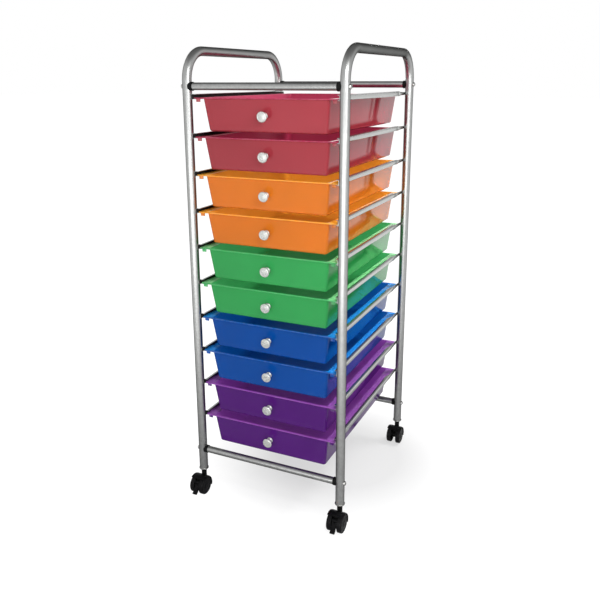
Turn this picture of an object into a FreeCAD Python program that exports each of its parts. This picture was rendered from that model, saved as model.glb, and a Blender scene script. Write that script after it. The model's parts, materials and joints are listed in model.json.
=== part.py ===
"""Rolling drawer cart: two bent-tube side frames, ten sliding drawers and four swivel casters.

Millimetres. The origin is on the floor, midway between the four legs.
+Z is up, -Y is the front where the knobs are, +X is the right side seen from the front.
"""
import FreeCAD, Part
import math
import os

V = FreeCAD.Vector
ORIGIN = V(0, 0, 0)
X_AXIS = V(1, 0, 0)
Y_AXIS = V(0, 1, 0)
Z_AXIS = V(0, 0, 1)

# Side frames and crossbars
LEG_SPACING_X = 320.0
LEG_SPACING_Y = 385.0
LEG_DIAMETER = 18.0
LEG_WALL = 1.2
HANDLE_BEND_RADIUS = 56.0
HANDLE_RISE = 65.0
BAR_DIAMETER = 14.0
BAR_WALL = 1.0
BOTTOM_BAR_RISE = 46.0
TOP_BAR_RISE = 19.0

# Saddle caps and frame screws
CAP_DIAMETER = 16.6
CAP_COLLAR = 5.0
CAP_WRAP = 3.5
CAP_PLUG_LENGTH = 14.0
SCREW_DIAMETER = 4.8
SCREW_HEAD_DIAMETER = 9.6
SCREW_HEAD_RISE = 3.2
SCREW_TIP_SETBACK = 2.4

# Drawer rails
DRAWER_COUNT = 10
DRAWER_GAP = 10.5
RAIL_HEIGHT = 10.0
RAIL_DEPTH = 7.0
RAIL_GAUGE = 1.0
RAIL_BEND_RADIUS = 2.0
RAIL_WELD_DEPTH = 0.4
RAIL_END_SETBACK = 1.5
RAIL_TAPER_LENGTH = 66.0
RAIL_TONGUE_HEIGHT = 5.0
RAIL_FLANGE_RUNOUT = 24.0

# Drawer trays
TRAY_HEIGHT = 62.5
TRAY_TAPER = 7.5
TRAY_WALL = 1.8
TRAY_RUNNER_WIDTH = 19.0
TRAY_FRONT_SETBACK = 4.5
TRAY_BACK_REACH = 4.0
TRAY_CORNER_RADIUS = 9.0
TRAY_BOTTOM_RADIUS = 4.0
LOWEST_TRAY_GAP = 13.8
RIM_THICKNESS = 2.0
RIM_FRONT_WIDTH = 2.5
RIM_BACK_WIDTH = 3.0
RIM_CORNER_RADIUS = 4.0
TAB_WIDTH = 8.5
TAB_DROP = 6.0
TAB_THICKNESS = 2.2

# Knobs
KNOB_BELOW_RIM = 31.5
KNOB_PROJECTION = 15.0
KNOB_HEAD_DIAMETER = 20.0
KNOB_HEAD_EDGE = 2.6
KNOB_HEAD_CROWN = 1.2
KNOB_NECK_DIAMETER = 9.0
KNOB_BASE_DIAMETER = 12.5
KNOB_BASE_THICKNESS = 2.0
KNOB_SCREW_DIAMETER = 4.0
KNOB_SCREW_DEPTH = 9.0

# Leg sockets and caster stems
SOCKET_FLANGE_DIAMETER = 20.6
SOCKET_FLANGE_HEIGHT = 2.4
SOCKET_CONE_HEIGHT = 2.6
SOCKET_TIP_WALL = 2.5
SOCKET_PLUG_LENGTH = 26.0
STEM_DIAMETER = 8.0
STEM_INSERT = 20.0
STEM_SHOULDER_WIDTH = 1.2
STEM_SHOULDER_HEIGHT = 1.2
STEM_GRIP = 19.5

# Casters
WHEEL_DIAMETER = 38.0
WHEEL_WIDTH = 10.8
WHEEL_TREAD_EDGE = 1.4
WHEEL_DISC = 2.6
WHEEL_RIM = 3.4
WHEEL_HUB_DIAMETER = 11.0
WHEEL_FACE_CROWN = 0.9
CASTER_TRAIL = 16.0
AXLE_DIAMETER = 5.0
AXLE_BOSS_DIAMETER = 13.0
STEM_BOSS_WALL = 1.5
STEM_BOSS_RISE = 5.9
STEM_BOSS_FLOOR = 2.0
HOOD_THICKNESS = 1.8
HOOD_OVERHANG = 0.2
HOOD_BACK_ANGLE = -22.0
HOOD_FRONT_ANGLE = 118.0

# Brake levers on the two front casters
BRAKE_PIVOT_RADIUS = 13.5
BRAKE_PIVOT_ANGLE = 138.0
BRAKE_PIN_DIAMETER = 3.0
BRAKE_HUB_DIAMETER = 7.6
BRAKE_LUG_DIAMETER = 7.0
BRAKE_LUG_THICKNESS = 4.0
BRAKE_TONGUE_THICKNESS = 3.2
BRAKE_TIP_REACH = 6.5
BRAKE_TIP_HEIGHT = 8.0
BRAKE_TOE_LENGTH = 5.0
BRAKE_TOE_DROP = 3.0

# Clearances
RUNNING_CLEARANCE = 0.06
PLUG_CLEARANCE = 0.05
HOLE_CLEARANCE = 0.1
SWIVEL_CLEARANCE = 0.3
BLIND_CLEARANCE = 0.4
FORK_CLEARANCE = 0.3
HOOD_CLEARANCE = 0.8
WEB_SIDE_CLEARANCE = 1.0
BOSS_SIDE_CLEARANCE = 0.7
RUNNER_SIDE_CLEARANCE = 1.4
RUNNER_SEAT_CLEARANCE = 0.3
TAB_CLEARANCE = 0.6

# Caster sizes that follow
WHEEL_RADIUS = WHEEL_DIAMETER / 2
STEM_BOSS_RADIUS = STEM_DIAMETER / 2 + STEM_BOSS_WALL
WHEEL_INNER_X = STEM_BOSS_RADIUS + BOSS_SIDE_CLEARANCE
WHEEL_OUTER_X = WHEEL_INNER_X + WHEEL_WIDTH
WEB_HALF = WHEEL_INNER_X - WEB_SIDE_CLEARANCE
HOOD_INNER_RADIUS = WHEEL_RADIUS + HOOD_CLEARANCE
HOOD_OUTER_RADIUS = HOOD_INNER_RADIUS + HOOD_THICKNESS
HOOD_HALF = WHEEL_OUTER_X + HOOD_OVERHANG
AXLE_CENTRE = V(0, -CASTER_TRAIL, WHEEL_RADIUS)
AXLE_HALF = WHEEL_OUTER_X - WHEEL_FACE_CROWN - WHEEL_DISC
STEM_BOSS_TOP = WHEEL_RADIUS + HOOD_OUTER_RADIUS + STEM_BOSS_RISE
STEM_TIP = STEM_BOSS_TOP - STEM_GRIP

# Heights, from the casters up
SOCKET_BOTTOM = STEM_BOSS_TOP + SWIVEL_CLEARANCE + STEM_SHOULDER_HEIGHT
LEG_END = SOCKET_BOTTOM + SOCKET_CONE_HEIGHT + SOCKET_FLANGE_HEIGHT
BOTTOM_BAR_HEIGHT = LEG_END + BOTTOM_BAR_RISE
LOWEST_RIM = BOTTOM_BAR_HEIGHT + BAR_DIAMETER / 2 + LOWEST_TRAY_GAP + TRAY_HEIGHT
DRAWER_PITCH = TRAY_HEIGHT + DRAWER_GAP
RIM_HEIGHTS = [LOWEST_RIM + step * DRAWER_PITCH for step in reversed(range(DRAWER_COUNT))]
RAIL_ABOVE_RIM = RAIL_HEIGHT / 2 - RAIL_GAUGE - RUNNER_SEAT_CLEARANCE - RIM_THICKNESS
TOP_BAR_HEIGHT = RIM_HEIGHTS[0] + RAIL_ABOVE_RIM + TOP_BAR_RISE
HANDLE_HEIGHT = TOP_BAR_HEIGHT + HANDLE_RISE

# Widths and depths
HALF_X = LEG_SPACING_X / 2
HALF_Y = LEG_SPACING_Y / 2
LEG_RADIUS = LEG_DIAMETER / 2
LEG_BORE_RADIUS = LEG_RADIUS - LEG_WALL
BAR_BORE_RADIUS = BAR_DIAMETER / 2 - BAR_WALL
RAIL_WEB_X = HALF_X - LEG_RADIUS + RAIL_WELD_DEPTH
RUNNER_EDGE = RAIL_WEB_X - RAIL_GAUGE - RUNNER_SIDE_CLEARANCE
TRAY_HALF_WIDTH = RUNNER_EDGE - TRAY_RUNNER_WIDTH
TRAY_FRONT = -HALF_Y + TRAY_FRONT_SETBACK
TRAY_BACK = HALF_Y + TRAY_BACK_REACH
TRAY_SLOPE = math.atan2(TRAY_TAPER, TRAY_HEIGHT)

SIDES = {"left": -1, "right": 1}
ENDS = {"front": -1, "back": 1}
BAR_HEIGHTS = {"top": TOP_BAR_HEIGHT, "bottom": BOTTOM_BAR_HEIGHT}


def polygon_face(points):
    """Flat face inside a closed run of straight lines."""
    return Part.Face(Part.makePolygon(points + [points[0]]))


def revolved(profile, base, axis):
    """Solid of revolution from (distance along the axis, radius) pairs."""
    across = X_AXIS if abs(axis.x) < 0.5 else Y_AXIS
    points = [base + axis * along + across * radius for along, radius in profile]
    return polygon_face(points).revolve(base, axis, 360)


def tube_end(centre, normal, outer_radius, inner_radius):
    """Flat ring across a tube."""
    rings = [Part.Wire(Part.Circle(centre, normal, r).toShape()) for r in (outer_radius, inner_radius)]
    return Part.Face(rings, "Part::FaceMakerBullseye")


def cross_pin(centre, diameter, half_length):
    """Round bar along X about a centre."""
    return Part.makeCylinder(diameter / 2, 2 * half_length, centre - X_AXIS * half_length, X_AXIS)


def right_hand_leg():
    """Outer cylinder of a leg on its own axis, tall enough to cut any piece that sits against it."""
    return Part.makeCylinder(LEG_RADIUS, 2 * HANDLE_HEIGHT, V(0, 0, -HANDLE_HEIGHT), Z_AXIS)


def at_leg(shape, side, end, height=0.0):
    """Copy of a piece drawn on the axis of a right-hand leg, taken to one of the four legs."""
    placed = shape.copy() if side > 0 else shape.mirror(ORIGIN, X_AXIS)
    placed.translate(V(side * HALF_X, end * HALF_Y, height))
    return placed


def at_all_legs(shape, heights=(0.0,)):
    """One copy of a piece at each leg and height, kept as separate solids."""
    places = [(side, end, height) for side in SIDES.values() for end in ENDS.values() for height in heights]
    return Part.makeCompound([at_leg(shape, *place) for place in places])


# Side frames and crossbars


def side_frame(side):
    """Tube bent to an upside-down U, with a screw hole through each leg at both crossbar heights."""
    x = side * HALF_X
    shoulder = HANDLE_HEIGHT - HANDLE_BEND_RADIUS
    handle_half = HALF_Y - HANDLE_BEND_RADIUS
    handle = tube_end(V(x, -handle_half, HANDLE_HEIGHT), Y_AXIS, LEG_RADIUS, LEG_BORE_RADIUS)
    pieces = [handle.extrude(Y_AXIS * 2 * handle_half)]
    for end in ENDS.values():
        foot = tube_end(V(x, end * HALF_Y, LEG_END), Z_AXIS, LEG_RADIUS, LEG_BORE_RADIUS)
        pieces.append(foot.extrude(Z_AXIS * (shoulder - LEG_END)))
        bend_start = tube_end(V(x, end * HALF_Y, shoulder), Z_AXIS, LEG_RADIUS, LEG_BORE_RADIUS)
        pieces.append(bend_start.revolve(V(x, end * handle_half, shoulder), X_AXIS * end, 90))
    tube = pieces[0].fuse(pieces[1:]).removeSplitter()
    for end in ENDS.values():
        for height in BAR_HEIGHTS.values():
            hole = cross_pin(V(x, end * HALF_Y, height), SCREW_DIAMETER + 2 * HOLE_CLEARANCE, LEG_DIAMETER)
            tube = tube.cut(hole)
    return tube


def crossbar(end, height):
    """Thin tube between the collars of its two caps."""
    reach = HALF_X - LEG_RADIUS - CAP_COLLAR
    ring = tube_end(V(-reach, end * HALF_Y, height), X_AXIS, BAR_DIAMETER / 2, BAR_BORE_RADIUS)
    return ring.extrude(X_AXIS * 2 * reach)


def saddle_cap():
    """Plug for a crossbar's end with a collar hollowed to sit round the leg."""
    bar_end = V(-LEG_RADIUS - CAP_COLLAR, 0, 0)
    plug_radius = BAR_BORE_RADIUS - PLUG_CLEARANCE
    pilot_radius = SCREW_DIAMETER / 2 + PLUG_CLEARANCE
    length = CAP_COLLAR + CAP_WRAP
    profile = [
        (-CAP_PLUG_LENGTH, pilot_radius),
        (-CAP_PLUG_LENGTH, plug_radius),
        (0, plug_radius),
        (0, CAP_DIAMETER / 2),
        (length, CAP_DIAMETER / 2),
        (length, pilot_radius),
    ]
    return revolved(profile, bar_end, X_AXIS).cut(right_hand_leg())


def frame_screw():
    """Screw with a domed head hollowed to the leg, its shank through the leg into the cap."""
    head_radius = SCREW_HEAD_DIAMETER / 2
    shank_radius = SCREW_DIAMETER / 2
    seat_drop = LEG_RADIUS - math.sqrt(LEG_RADIUS ** 2 - head_radius ** 2)
    top = V(LEG_RADIUS + SCREW_HEAD_RISE, 0, 0)
    tip = SCREW_HEAD_RISE + LEG_DIAMETER + CAP_COLLAR + CAP_PLUG_LENGTH - SCREW_TIP_SETBACK
    head = revolved(
        [
            (0, 0),
            (0, 0.5 * head_radius),
            (0.6 * SCREW_HEAD_RISE, head_radius),
            (SCREW_HEAD_RISE + seat_drop, head_radius),
            (SCREW_HEAD_RISE + seat_drop, 0),
        ],
        top,
        -X_AXIS,
    ).cut(right_hand_leg())
    shank = Part.makeCylinder(shank_radius, tip - SCREW_HEAD_RISE / 2, top - X_AXIS * SCREW_HEAD_RISE / 2, -X_AXIS)
    return head.fuse(shank)


# Drawer rails


def right_hand_rail():
    """Open channel with bent corners, centred at z = 0; its back end runs out to a flat tongue."""
    half = RAIL_HEIGHT / 2
    mouth = RAIL_WEB_X - RAIL_DEPTH
    front = -HALF_Y - LEG_RADIUS + RAIL_END_SETBACK
    back = HALF_Y + LEG_RADIUS - RAIL_END_SETBACK
    bend = RAIL_BEND_RADIUS
    drop = bend * (1 - math.sqrt(0.5))
    outline = [
        Part.LineSegment(V(mouth, front, -half), V(RAIL_WEB_X - bend, front, -half)),
        Part.Arc(
            V(RAIL_WEB_X - bend, front, -half),
            V(RAIL_WEB_X - drop, front, -half + drop),
            V(RAIL_WEB_X, front, -half + bend),
        ),
        Part.LineSegment(V(RAIL_WEB_X, front, -half + bend), V(RAIL_WEB_X, front, half - bend)),
        Part.Arc(
            V(RAIL_WEB_X, front, half - bend),
            V(RAIL_WEB_X - drop, front, half - drop),
            V(RAIL_WEB_X - bend, front, half),
        ),
        Part.LineSegment(V(RAIL_WEB_X - bend, front, half), V(mouth, front, half)),
    ]
    strip = Part.Wire([piece.toShape() for piece in outline])
    section = strip.makeOffset2D(RAIL_GAUGE, 0, True, True)
    channel = section.extrude(Y_AXIS * (back - front))

    taper = back - RAIL_TAPER_LENGTH
    past = back + RAIL_GAUGE
    inside = RAIL_WEB_X - RAIL_GAUGE
    flange_cut = polygon_face([
        V(mouth - RAIL_GAUGE, taper, -RAIL_HEIGHT),
        V(inside, taper + RAIL_FLANGE_RUNOUT, -RAIL_HEIGHT),
        V(inside, past, -RAIL_HEIGHT),
        V(mouth - RAIL_GAUGE, past, -RAIL_HEIGHT),
    ]).extrude(Z_AXIS * 2 * RAIL_HEIGHT)
    upper_cut = polygon_face([
        V(mouth - RAIL_GAUGE, taper, half),
        V(mouth - RAIL_GAUGE, past, RAIL_TONGUE_HEIGHT / 2),
        V(mouth - RAIL_GAUGE, past, RAIL_HEIGHT),
        V(mouth - RAIL_GAUGE, taper, RAIL_HEIGHT),
    ]).extrude(X_AXIS * (RAIL_DEPTH + 2 * RAIL_GAUGE))
    lower_cut = upper_cut.mirror(ORIGIN, Z_AXIS)
    legs = [at_leg(right_hand_leg(), 1, end) for end in ENDS.values()]
    return channel.cut([flange_cut, upper_cut, lower_cut] + legs)


def rails(side):
    """The ten rails of one side, kept as separate solids."""
    pattern = right_hand_rail() if side > 0 else right_hand_rail().mirror(ORIGIN, X_AXIS)
    placed = []
    for rim in RIM_HEIGHTS:
        copy = pattern.copy()
        copy.translate(Z_AXIS * (rim + RAIL_ABOVE_RIM))
        placed.append(copy)
    return Part.makeCompound(placed)


# Drawers, drawn with the top of the rim at z = 0


def rounded_plate(half_width, front, back, bottom, thickness, radius):
    """Flat plate with round corners."""
    plate = Part.makeBox(2 * half_width, back - front, thickness, V(-half_width, front, bottom))
    upright = [edge for edge in plate.Edges if edge.BoundBox.ZLength > thickness / 2]
    return plate.makeFillet(radius, upright)


def tray_block(inset, depth, corner_radius, bottom_radius):
    """Tapered block with round corners and a round bottom edge, inset from the tray's outside."""
    half = TRAY_HALF_WIDTH - inset
    front = TRAY_FRONT + inset
    back = TRAY_BACK - inset
    draw_in = depth * math.tan(TRAY_SLOPE)
    across = polygon_face([
        V(-half, front, 0),
        V(half, front, 0),
        V(half - draw_in, front, -depth),
        V(-half + draw_in, front, -depth),
    ]).extrude(Y_AXIS * (back - front))
    along = polygon_face([
        V(-half, front, 0),
        V(-half, back, 0),
        V(-half, back - draw_in, -depth),
        V(-half, front + draw_in, -depth),
    ]).extrude(X_AXIS * 2 * half)
    block = across.common(along)
    corners = [edge for edge in block.Edges if edge.BoundBox.ZLength > depth / 2]
    block = block.makeFillet(corner_radius, corners)
    floor = [edge for edge in block.Edges if edge.BoundBox.ZMax < -depth / 2]
    return block.makeFillet(bottom_radius, floor)


def knob_seat():
    """Point on the front wall where the knob's base sits, and the way the knob points."""
    y = TRAY_FRONT + KNOB_BELOW_RIM * math.tan(TRAY_SLOPE)
    return V(0, y, -KNOB_BELOW_RIM), V(0, -math.cos(TRAY_SLOPE), -math.sin(TRAY_SLOPE))


def tray():
    """Moulded drawer: tapered bowl, flat rim, runners that ride in the rails and two guide tabs."""
    rim_front = TRAY_FRONT - RIM_FRONT_WIDTH
    rim_back = TRAY_BACK + RIM_BACK_WIDTH
    rim = rounded_plate(RUNNER_EDGE, rim_front, rim_back, -RIM_THICKNESS, RIM_THICKNESS, RIM_CORNER_RADIUS)
    tab_outer = RAIL_WEB_X - RAIL_DEPTH - TAB_CLEARANCE
    tab_height = TAB_DROP + RIM_THICKNESS / 2
    tab_corner = V(tab_outer - TAB_WIDTH, rim_front + RIM_CORNER_RADIUS / 2, -RIM_THICKNESS - TAB_DROP)
    tab = Part.makeBox(TAB_WIDTH, TAB_THICKNESS, tab_height, tab_corner)
    outside = tray_block(0, TRAY_HEIGHT, TRAY_CORNER_RADIUS, TRAY_BOTTOM_RADIUS)
    inside = tray_block(
        TRAY_WALL, TRAY_HEIGHT - TRAY_WALL, TRAY_CORNER_RADIUS - TRAY_WALL, TRAY_BOTTOM_RADIUS - TRAY_WALL)
    seat, outward = knob_seat()
    hole_radius = KNOB_SCREW_DIAMETER / 2 + HOLE_CLEARANCE
    hole = Part.makeCylinder(hole_radius, 4 * TRAY_WALL, seat - outward * 2 * TRAY_WALL, outward)
    body = outside.fuse([rim, tab, tab.mirror(ORIGIN, X_AXIS)])
    return body.cut([inside, hole]).removeSplitter()


def knob():
    """Turned mushroom knob seated square on the sloping front, with a blind screw hole."""
    seat, outward = knob_seat()
    head_radius = KNOB_HEAD_DIAMETER / 2
    neck_radius = KNOB_NECK_DIAMETER / 2
    hole_radius = KNOB_SCREW_DIAMETER / 2 + HOLE_CLEARANCE
    head_front = KNOB_PROJECTION - KNOB_HEAD_CROWN
    head_back = head_front - KNOB_HEAD_EDGE
    profile = [
        (0, hole_radius),
        (0, KNOB_BASE_DIAMETER / 2),
        (KNOB_BASE_THICKNESS, neck_radius),
        ((KNOB_BASE_THICKNESS + head_back) / 2, neck_radius),
        (head_back, head_radius),
        (head_front, head_radius),
        (KNOB_PROJECTION, 0.72 * head_radius),
        (KNOB_PROJECTION, 0),
        (KNOB_SCREW_DEPTH, 0),
        (KNOB_SCREW_DEPTH, hole_radius),
    ]
    return revolved(profile, seat, outward)


# Leg sockets and caster stems, drawn on the axis of a leg


def leg_socket():
    """Plug for the tube's end with a flared collar below it, bored for the stem."""
    bore = STEM_DIAMETER / 2 + PLUG_CLEARANCE
    plug = LEG_BORE_RADIUS - PLUG_CLEARANCE
    profile = [
        (SOCKET_BOTTOM, bore),
        (SOCKET_BOTTOM, STEM_DIAMETER / 2 + SOCKET_TIP_WALL),
        (SOCKET_BOTTOM + SOCKET_CONE_HEIGHT, SOCKET_FLANGE_DIAMETER / 2),
        (LEG_END, SOCKET_FLANGE_DIAMETER / 2),
        (LEG_END, plug),
        (LEG_END + SOCKET_PLUG_LENGTH, plug),
        (LEG_END + SOCKET_PLUG_LENGTH, bore),
    ]
    return revolved(profile, ORIGIN, Z_AXIS)


def caster_stem():
    """Steel pin with a shoulder under the leg socket."""
    radius = STEM_DIAMETER / 2
    shoulder = radius + STEM_SHOULDER_WIDTH
    profile = [
        (STEM_TIP, 0),
        (STEM_TIP, radius),
        (SOCKET_BOTTOM - STEM_SHOULDER_HEIGHT, radius),
        (SOCKET_BOTTOM - STEM_SHOULDER_HEIGHT, shoulder),
        (SOCKET_BOTTOM, shoulder),
        (SOCKET_BOTTOM, radius),
        (LEG_END + STEM_INSERT, radius),
        (LEG_END + STEM_INSERT, 0),
    ]
    return revolved(profile, ORIGIN, Z_AXIS)


# Casters, drawn on the axis of a leg with the wheels trailing to the front


def around_axle(radius, angle):
    """Point at a radius from the axle; 0 degrees is to the back, 90 degrees is up."""
    turn = math.radians(angle)
    return AXLE_CENTRE + V(0, radius * math.cos(turn), radius * math.sin(turn))


def sector(radius, first, last, half_width):
    """Slice of a disc about the axle, as thick as twice its half width."""
    start = around_axle(radius, first)
    middle = around_axle(radius, (first + last) / 2)
    stop = around_axle(radius, last)
    outline = [
        Part.LineSegment(AXLE_CENTRE, start),
        Part.Arc(start, middle, stop),
        Part.LineSegment(stop, AXLE_CENTRE),
    ]
    face = Part.Face(Part.Wire([piece.toShape() for piece in outline]))
    face.translate(X_AXIS * -half_width)
    return face.extrude(X_AXIS * 2 * half_width)


def brake_pivot():
    """Centre of the brake lever's pivot pin."""
    return around_axle(BRAKE_PIVOT_RADIUS, BRAKE_PIVOT_ANGLE)


def caster_housing(braked):
    """Web between the wheels with an axle boss, a hood over the wheels and a boss for the stem."""
    hood = sector(HOOD_OUTER_RADIUS, HOOD_BACK_ANGLE, HOOD_FRONT_ANGLE, HOOD_HALF)
    hood = hood.cut(cross_pin(AXLE_CENTRE, 2 * HOOD_INNER_RADIUS, 2 * HOOD_HALF))
    web_radius = (HOOD_INNER_RADIUS + HOOD_OUTER_RADIUS) / 2
    web = sector(web_radius, HOOD_BACK_ANGLE, HOOD_FRONT_ANGLE, WEB_HALF)
    axle_boss = cross_pin(AXLE_CENTRE, AXLE_BOSS_DIAMETER, WEB_HALF)
    bore_bottom = STEM_TIP - BLIND_CLEARANCE
    boss_bottom = bore_bottom - STEM_BOSS_FLOOR
    stem_boss = Part.makeCylinder(STEM_BOSS_RADIUS, STEM_BOSS_TOP - boss_bottom, V(0, 0, boss_bottom), Z_AXIS)
    body = hood.fuse([web, axle_boss, stem_boss])
    if braked:
        pivot = brake_pivot()
        lug_half = BRAKE_LUG_THICKNESS / 2
        swing_room = cross_pin(pivot, BRAKE_HUB_DIAMETER + 2 * FORK_CLEARANCE, 2 * WEB_HALF)
        lug = cross_pin(pivot, BRAKE_LUG_DIAMETER, lug_half)
        arm = sector(BRAKE_PIVOT_RADIUS, HOOD_BACK_ANGLE, BRAKE_PIVOT_ANGLE, lug_half)
        body = body.cut(swing_room).fuse([lug, arm])
        body = body.cut(cross_pin(pivot, BRAKE_PIN_DIAMETER + 2 * PLUG_CLEARANCE, 2 * WEB_HALF))
    bore_radius = STEM_DIAMETER / 2 + RUNNING_CLEARANCE
    stem_bore = Part.makeCylinder(bore_radius, STEM_GRIP + STEM_BOSS_RISE, V(0, 0, bore_bottom), Z_AXIS)
    axle_bore = cross_pin(AXLE_CENTRE, AXLE_DIAMETER + 2 * PLUG_CLEARANCE, 2 * WEB_HALF)
    return body.cut([stem_bore, axle_bore]).removeSplitter()


def caster_wheel(hand):
    """Cup-shaped wheel with a closed, slightly crowned outer face and a blind hub."""
    bore = AXLE_DIAMETER / 2 + RUNNING_CLEARANCE
    hub = WHEEL_HUB_DIAMETER / 2
    rim = WHEEL_RADIUS - WHEEL_RIM
    face_edge = WHEEL_OUTER_X - WHEEL_FACE_CROWN
    disc = face_edge - WHEEL_DISC
    blind = AXLE_HALF + BLIND_CLEARANCE
    profile = [
        (WHEEL_INNER_X, bore),
        (WHEEL_INNER_X, hub),
        (disc, hub),
        (disc, rim),
        (WHEEL_INNER_X, rim),
        (WHEEL_INNER_X, WHEEL_RADIUS),
        (face_edge - WHEEL_TREAD_EDGE, WHEEL_RADIUS),
        (face_edge, WHEEL_RADIUS - WHEEL_TREAD_EDGE),
        (WHEEL_OUTER_X, hub),
        (WHEEL_OUTER_X, 0),
        (blind, 0),
        (blind, bore),
    ]
    return revolved(profile, AXLE_CENTRE, X_AXIS * hand)


def brake_lever():
    """Forked lever between the wheels whose tongue comes out in front of them to a toe."""
    pivot = brake_pivot()
    tip = V(0, AXLE_CENTRE.y - WHEEL_RADIUS - BRAKE_TIP_REACH, BRAKE_TIP_HEIGHT)
    toe = tip + V(0, BRAKE_TOE_LENGTH, BRAKE_TOE_DROP)
    half_tongue = BRAKE_TONGUE_THICKNESS / 2
    arm_way = (toe - pivot).normalize()
    arm_out = X_AXIS.cross(arm_way) * half_tongue
    toe_way = (tip - toe).normalize()
    toe_out = X_AXIS.cross(toe_way) * half_tongue
    outline = [pivot - arm_out, toe - arm_out, tip - toe_out, tip + toe_out, toe + arm_out, pivot + arm_out]
    tongue = polygon_face([point - X_AXIS * WEB_HALF for point in outline]).extrude(X_AXIS * 2 * WEB_HALF)
    lever = cross_pin(pivot, BRAKE_HUB_DIAMETER, WEB_HALF).fuse(tongue)
    slot_half = BRAKE_LUG_THICKNESS / 2 + FORK_CLEARANCE
    slot = cross_pin(pivot, BRAKE_HUB_DIAMETER + 4 * FORK_CLEARANCE, slot_half)
    pin_hole = cross_pin(pivot, BRAKE_PIN_DIAMETER + 2 * RUNNING_CLEARANCE, 2 * WEB_HALF)
    return lever.cut([slot, pin_hole]).removeSplitter()


def export(name, shape):
    """Write one named piece."""
    shape.exportStep("parts/%s.step" % name)


def export_frame():
    """Side frames, rails, crossbars and the small pieces that join them."""
    for name, side in SIDES.items():
        export("side_frame_" + name, side_frame(side))
        export("rails_" + name, rails(side))
    for level, height in BAR_HEIGHTS.items():
        for name, end in ENDS.items():
            export("crossbar_%s_%s" % (level, name), crossbar(end, height))
    export("saddle_caps", at_all_legs(saddle_cap(), BAR_HEIGHTS.values()))
    export("frame_screws", at_all_legs(frame_screw(), BAR_HEIGHTS.values()))
    export("leg_sockets", at_all_legs(leg_socket()))
    export("caster_stems", at_all_legs(caster_stem()))


def export_drawers():
    """Ten like drawers and their knobs, numbered from the top."""
    for pattern, name in ((tray(), "drawer"), (knob(), "knob")):
        for number, rim in enumerate(RIM_HEIGHTS, 1):
            copy = pattern.copy()
            copy.translate(Z_AXIS * rim)
            export("%s_%02d" % (name, number), copy)


def export_casters():
    """Four casters; the two at the front have brakes."""
    for end_name, end in ENDS.items():
        for side_name, side in SIDES.items():
            place = "%s_%s" % (end_name, side_name)
            braked = end_name == "front"
            pieces = {"caster_housing_" + place: caster_housing(braked)}
            pieces["caster_axle_" + place] = cross_pin(AXLE_CENTRE, AXLE_DIAMETER, AXLE_HALF)
            pieces["caster_wheel_%s_outer" % place] = caster_wheel(1)
            pieces["caster_wheel_%s_inner" % place] = caster_wheel(-1)
            if braked:
                pieces["brake_lever_" + place] = brake_lever()
                pieces["brake_pin_" + place] = cross_pin(brake_pivot(), BRAKE_PIN_DIAMETER, WEB_HALF)
            for name, shape in pieces.items():
                export(name, at_leg(shape, side, end))


os.makedirs("parts", exist_ok=True)
export_frame()
export_drawers()
export_casters()
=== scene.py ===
"""Looks of the rolling drawer cart: tubes, moulded trays and twin-wheel casters round the packed frame."""
import json
import math
from functools import partial

import bmesh
import bpy
from mathutils import Matrix, Quaternion, Vector


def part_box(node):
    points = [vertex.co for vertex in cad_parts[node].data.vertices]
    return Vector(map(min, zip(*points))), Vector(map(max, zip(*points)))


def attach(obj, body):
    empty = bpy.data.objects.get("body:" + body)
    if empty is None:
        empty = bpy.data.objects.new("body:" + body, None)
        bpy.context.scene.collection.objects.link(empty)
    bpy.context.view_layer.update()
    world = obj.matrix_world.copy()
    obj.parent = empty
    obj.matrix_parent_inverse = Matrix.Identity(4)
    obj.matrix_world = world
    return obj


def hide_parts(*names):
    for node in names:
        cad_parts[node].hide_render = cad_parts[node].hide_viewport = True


bl_info = {
    "name": "Rolling Drawer Cart",
    "version": (1, 0, 0),
    "blender": (4, 5, 0),
    "location": "View3D > Sidebar > Cart",
    "description": "Builds the looks of a rolling drawer cart round its frame",
    "category": "Object",
}

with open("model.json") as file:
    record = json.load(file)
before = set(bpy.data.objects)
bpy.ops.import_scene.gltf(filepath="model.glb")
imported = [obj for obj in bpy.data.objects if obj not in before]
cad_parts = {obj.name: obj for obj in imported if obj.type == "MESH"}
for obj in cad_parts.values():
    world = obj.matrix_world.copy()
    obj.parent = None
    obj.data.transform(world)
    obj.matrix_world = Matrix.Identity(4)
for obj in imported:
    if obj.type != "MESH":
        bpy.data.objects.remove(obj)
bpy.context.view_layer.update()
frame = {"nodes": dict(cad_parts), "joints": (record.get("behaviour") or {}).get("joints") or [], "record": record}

# Places read from the frame, in metres
SIDES = {"left": -1, "right": 1}
ENDS = {"front": -1, "back": 1}
LEVELS = ("top", "bottom")
PLACES = {"%s_%s" % (end, side): (ENDS[end], SIDES[side]) for end in ENDS for side in SIDES}
HINGES = {joint["name"]: Vector(joint["pos_m"]) for joint in frame["joints"] if "pos_m" in joint}
SLOTS = {part["node"]: part["material_slot"] for part in frame["record"]["subparts"]}
DRAWERS = sorted(name for name in frame["nodes"] if name.startswith("drawer_"))
LEG_X, LEG_Y = HINGES["caster_back_right_swivel"].xy
TUBE_LOW, TUBE_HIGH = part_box("side_frame_right")
BAR_LOW, BAR_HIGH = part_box("crossbar_top_front")
CAP_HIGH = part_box("saddle_caps")[1]
SCREW_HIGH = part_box("frame_screws")[1]
SOCKET_LOW, SOCKET_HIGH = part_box("leg_sockets")
STEM_LOW, STEM_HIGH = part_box("caster_stems")
RAIL_LOW, RAIL_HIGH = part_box("rails_right")
TRAY_LOW, TRAY_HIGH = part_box("drawer_01")
HOUSING_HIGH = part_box("caster_housing_back_right")[1]
WHEEL_LOW, WHEEL_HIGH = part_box("caster_wheel_back_right_outer")
LEVER_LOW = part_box("brake_lever_front_right")[0]
AXLE = HINGES["caster_wheel_back_right_outer_spin"] - Vector((LEG_X, LEG_Y, 0))
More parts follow.
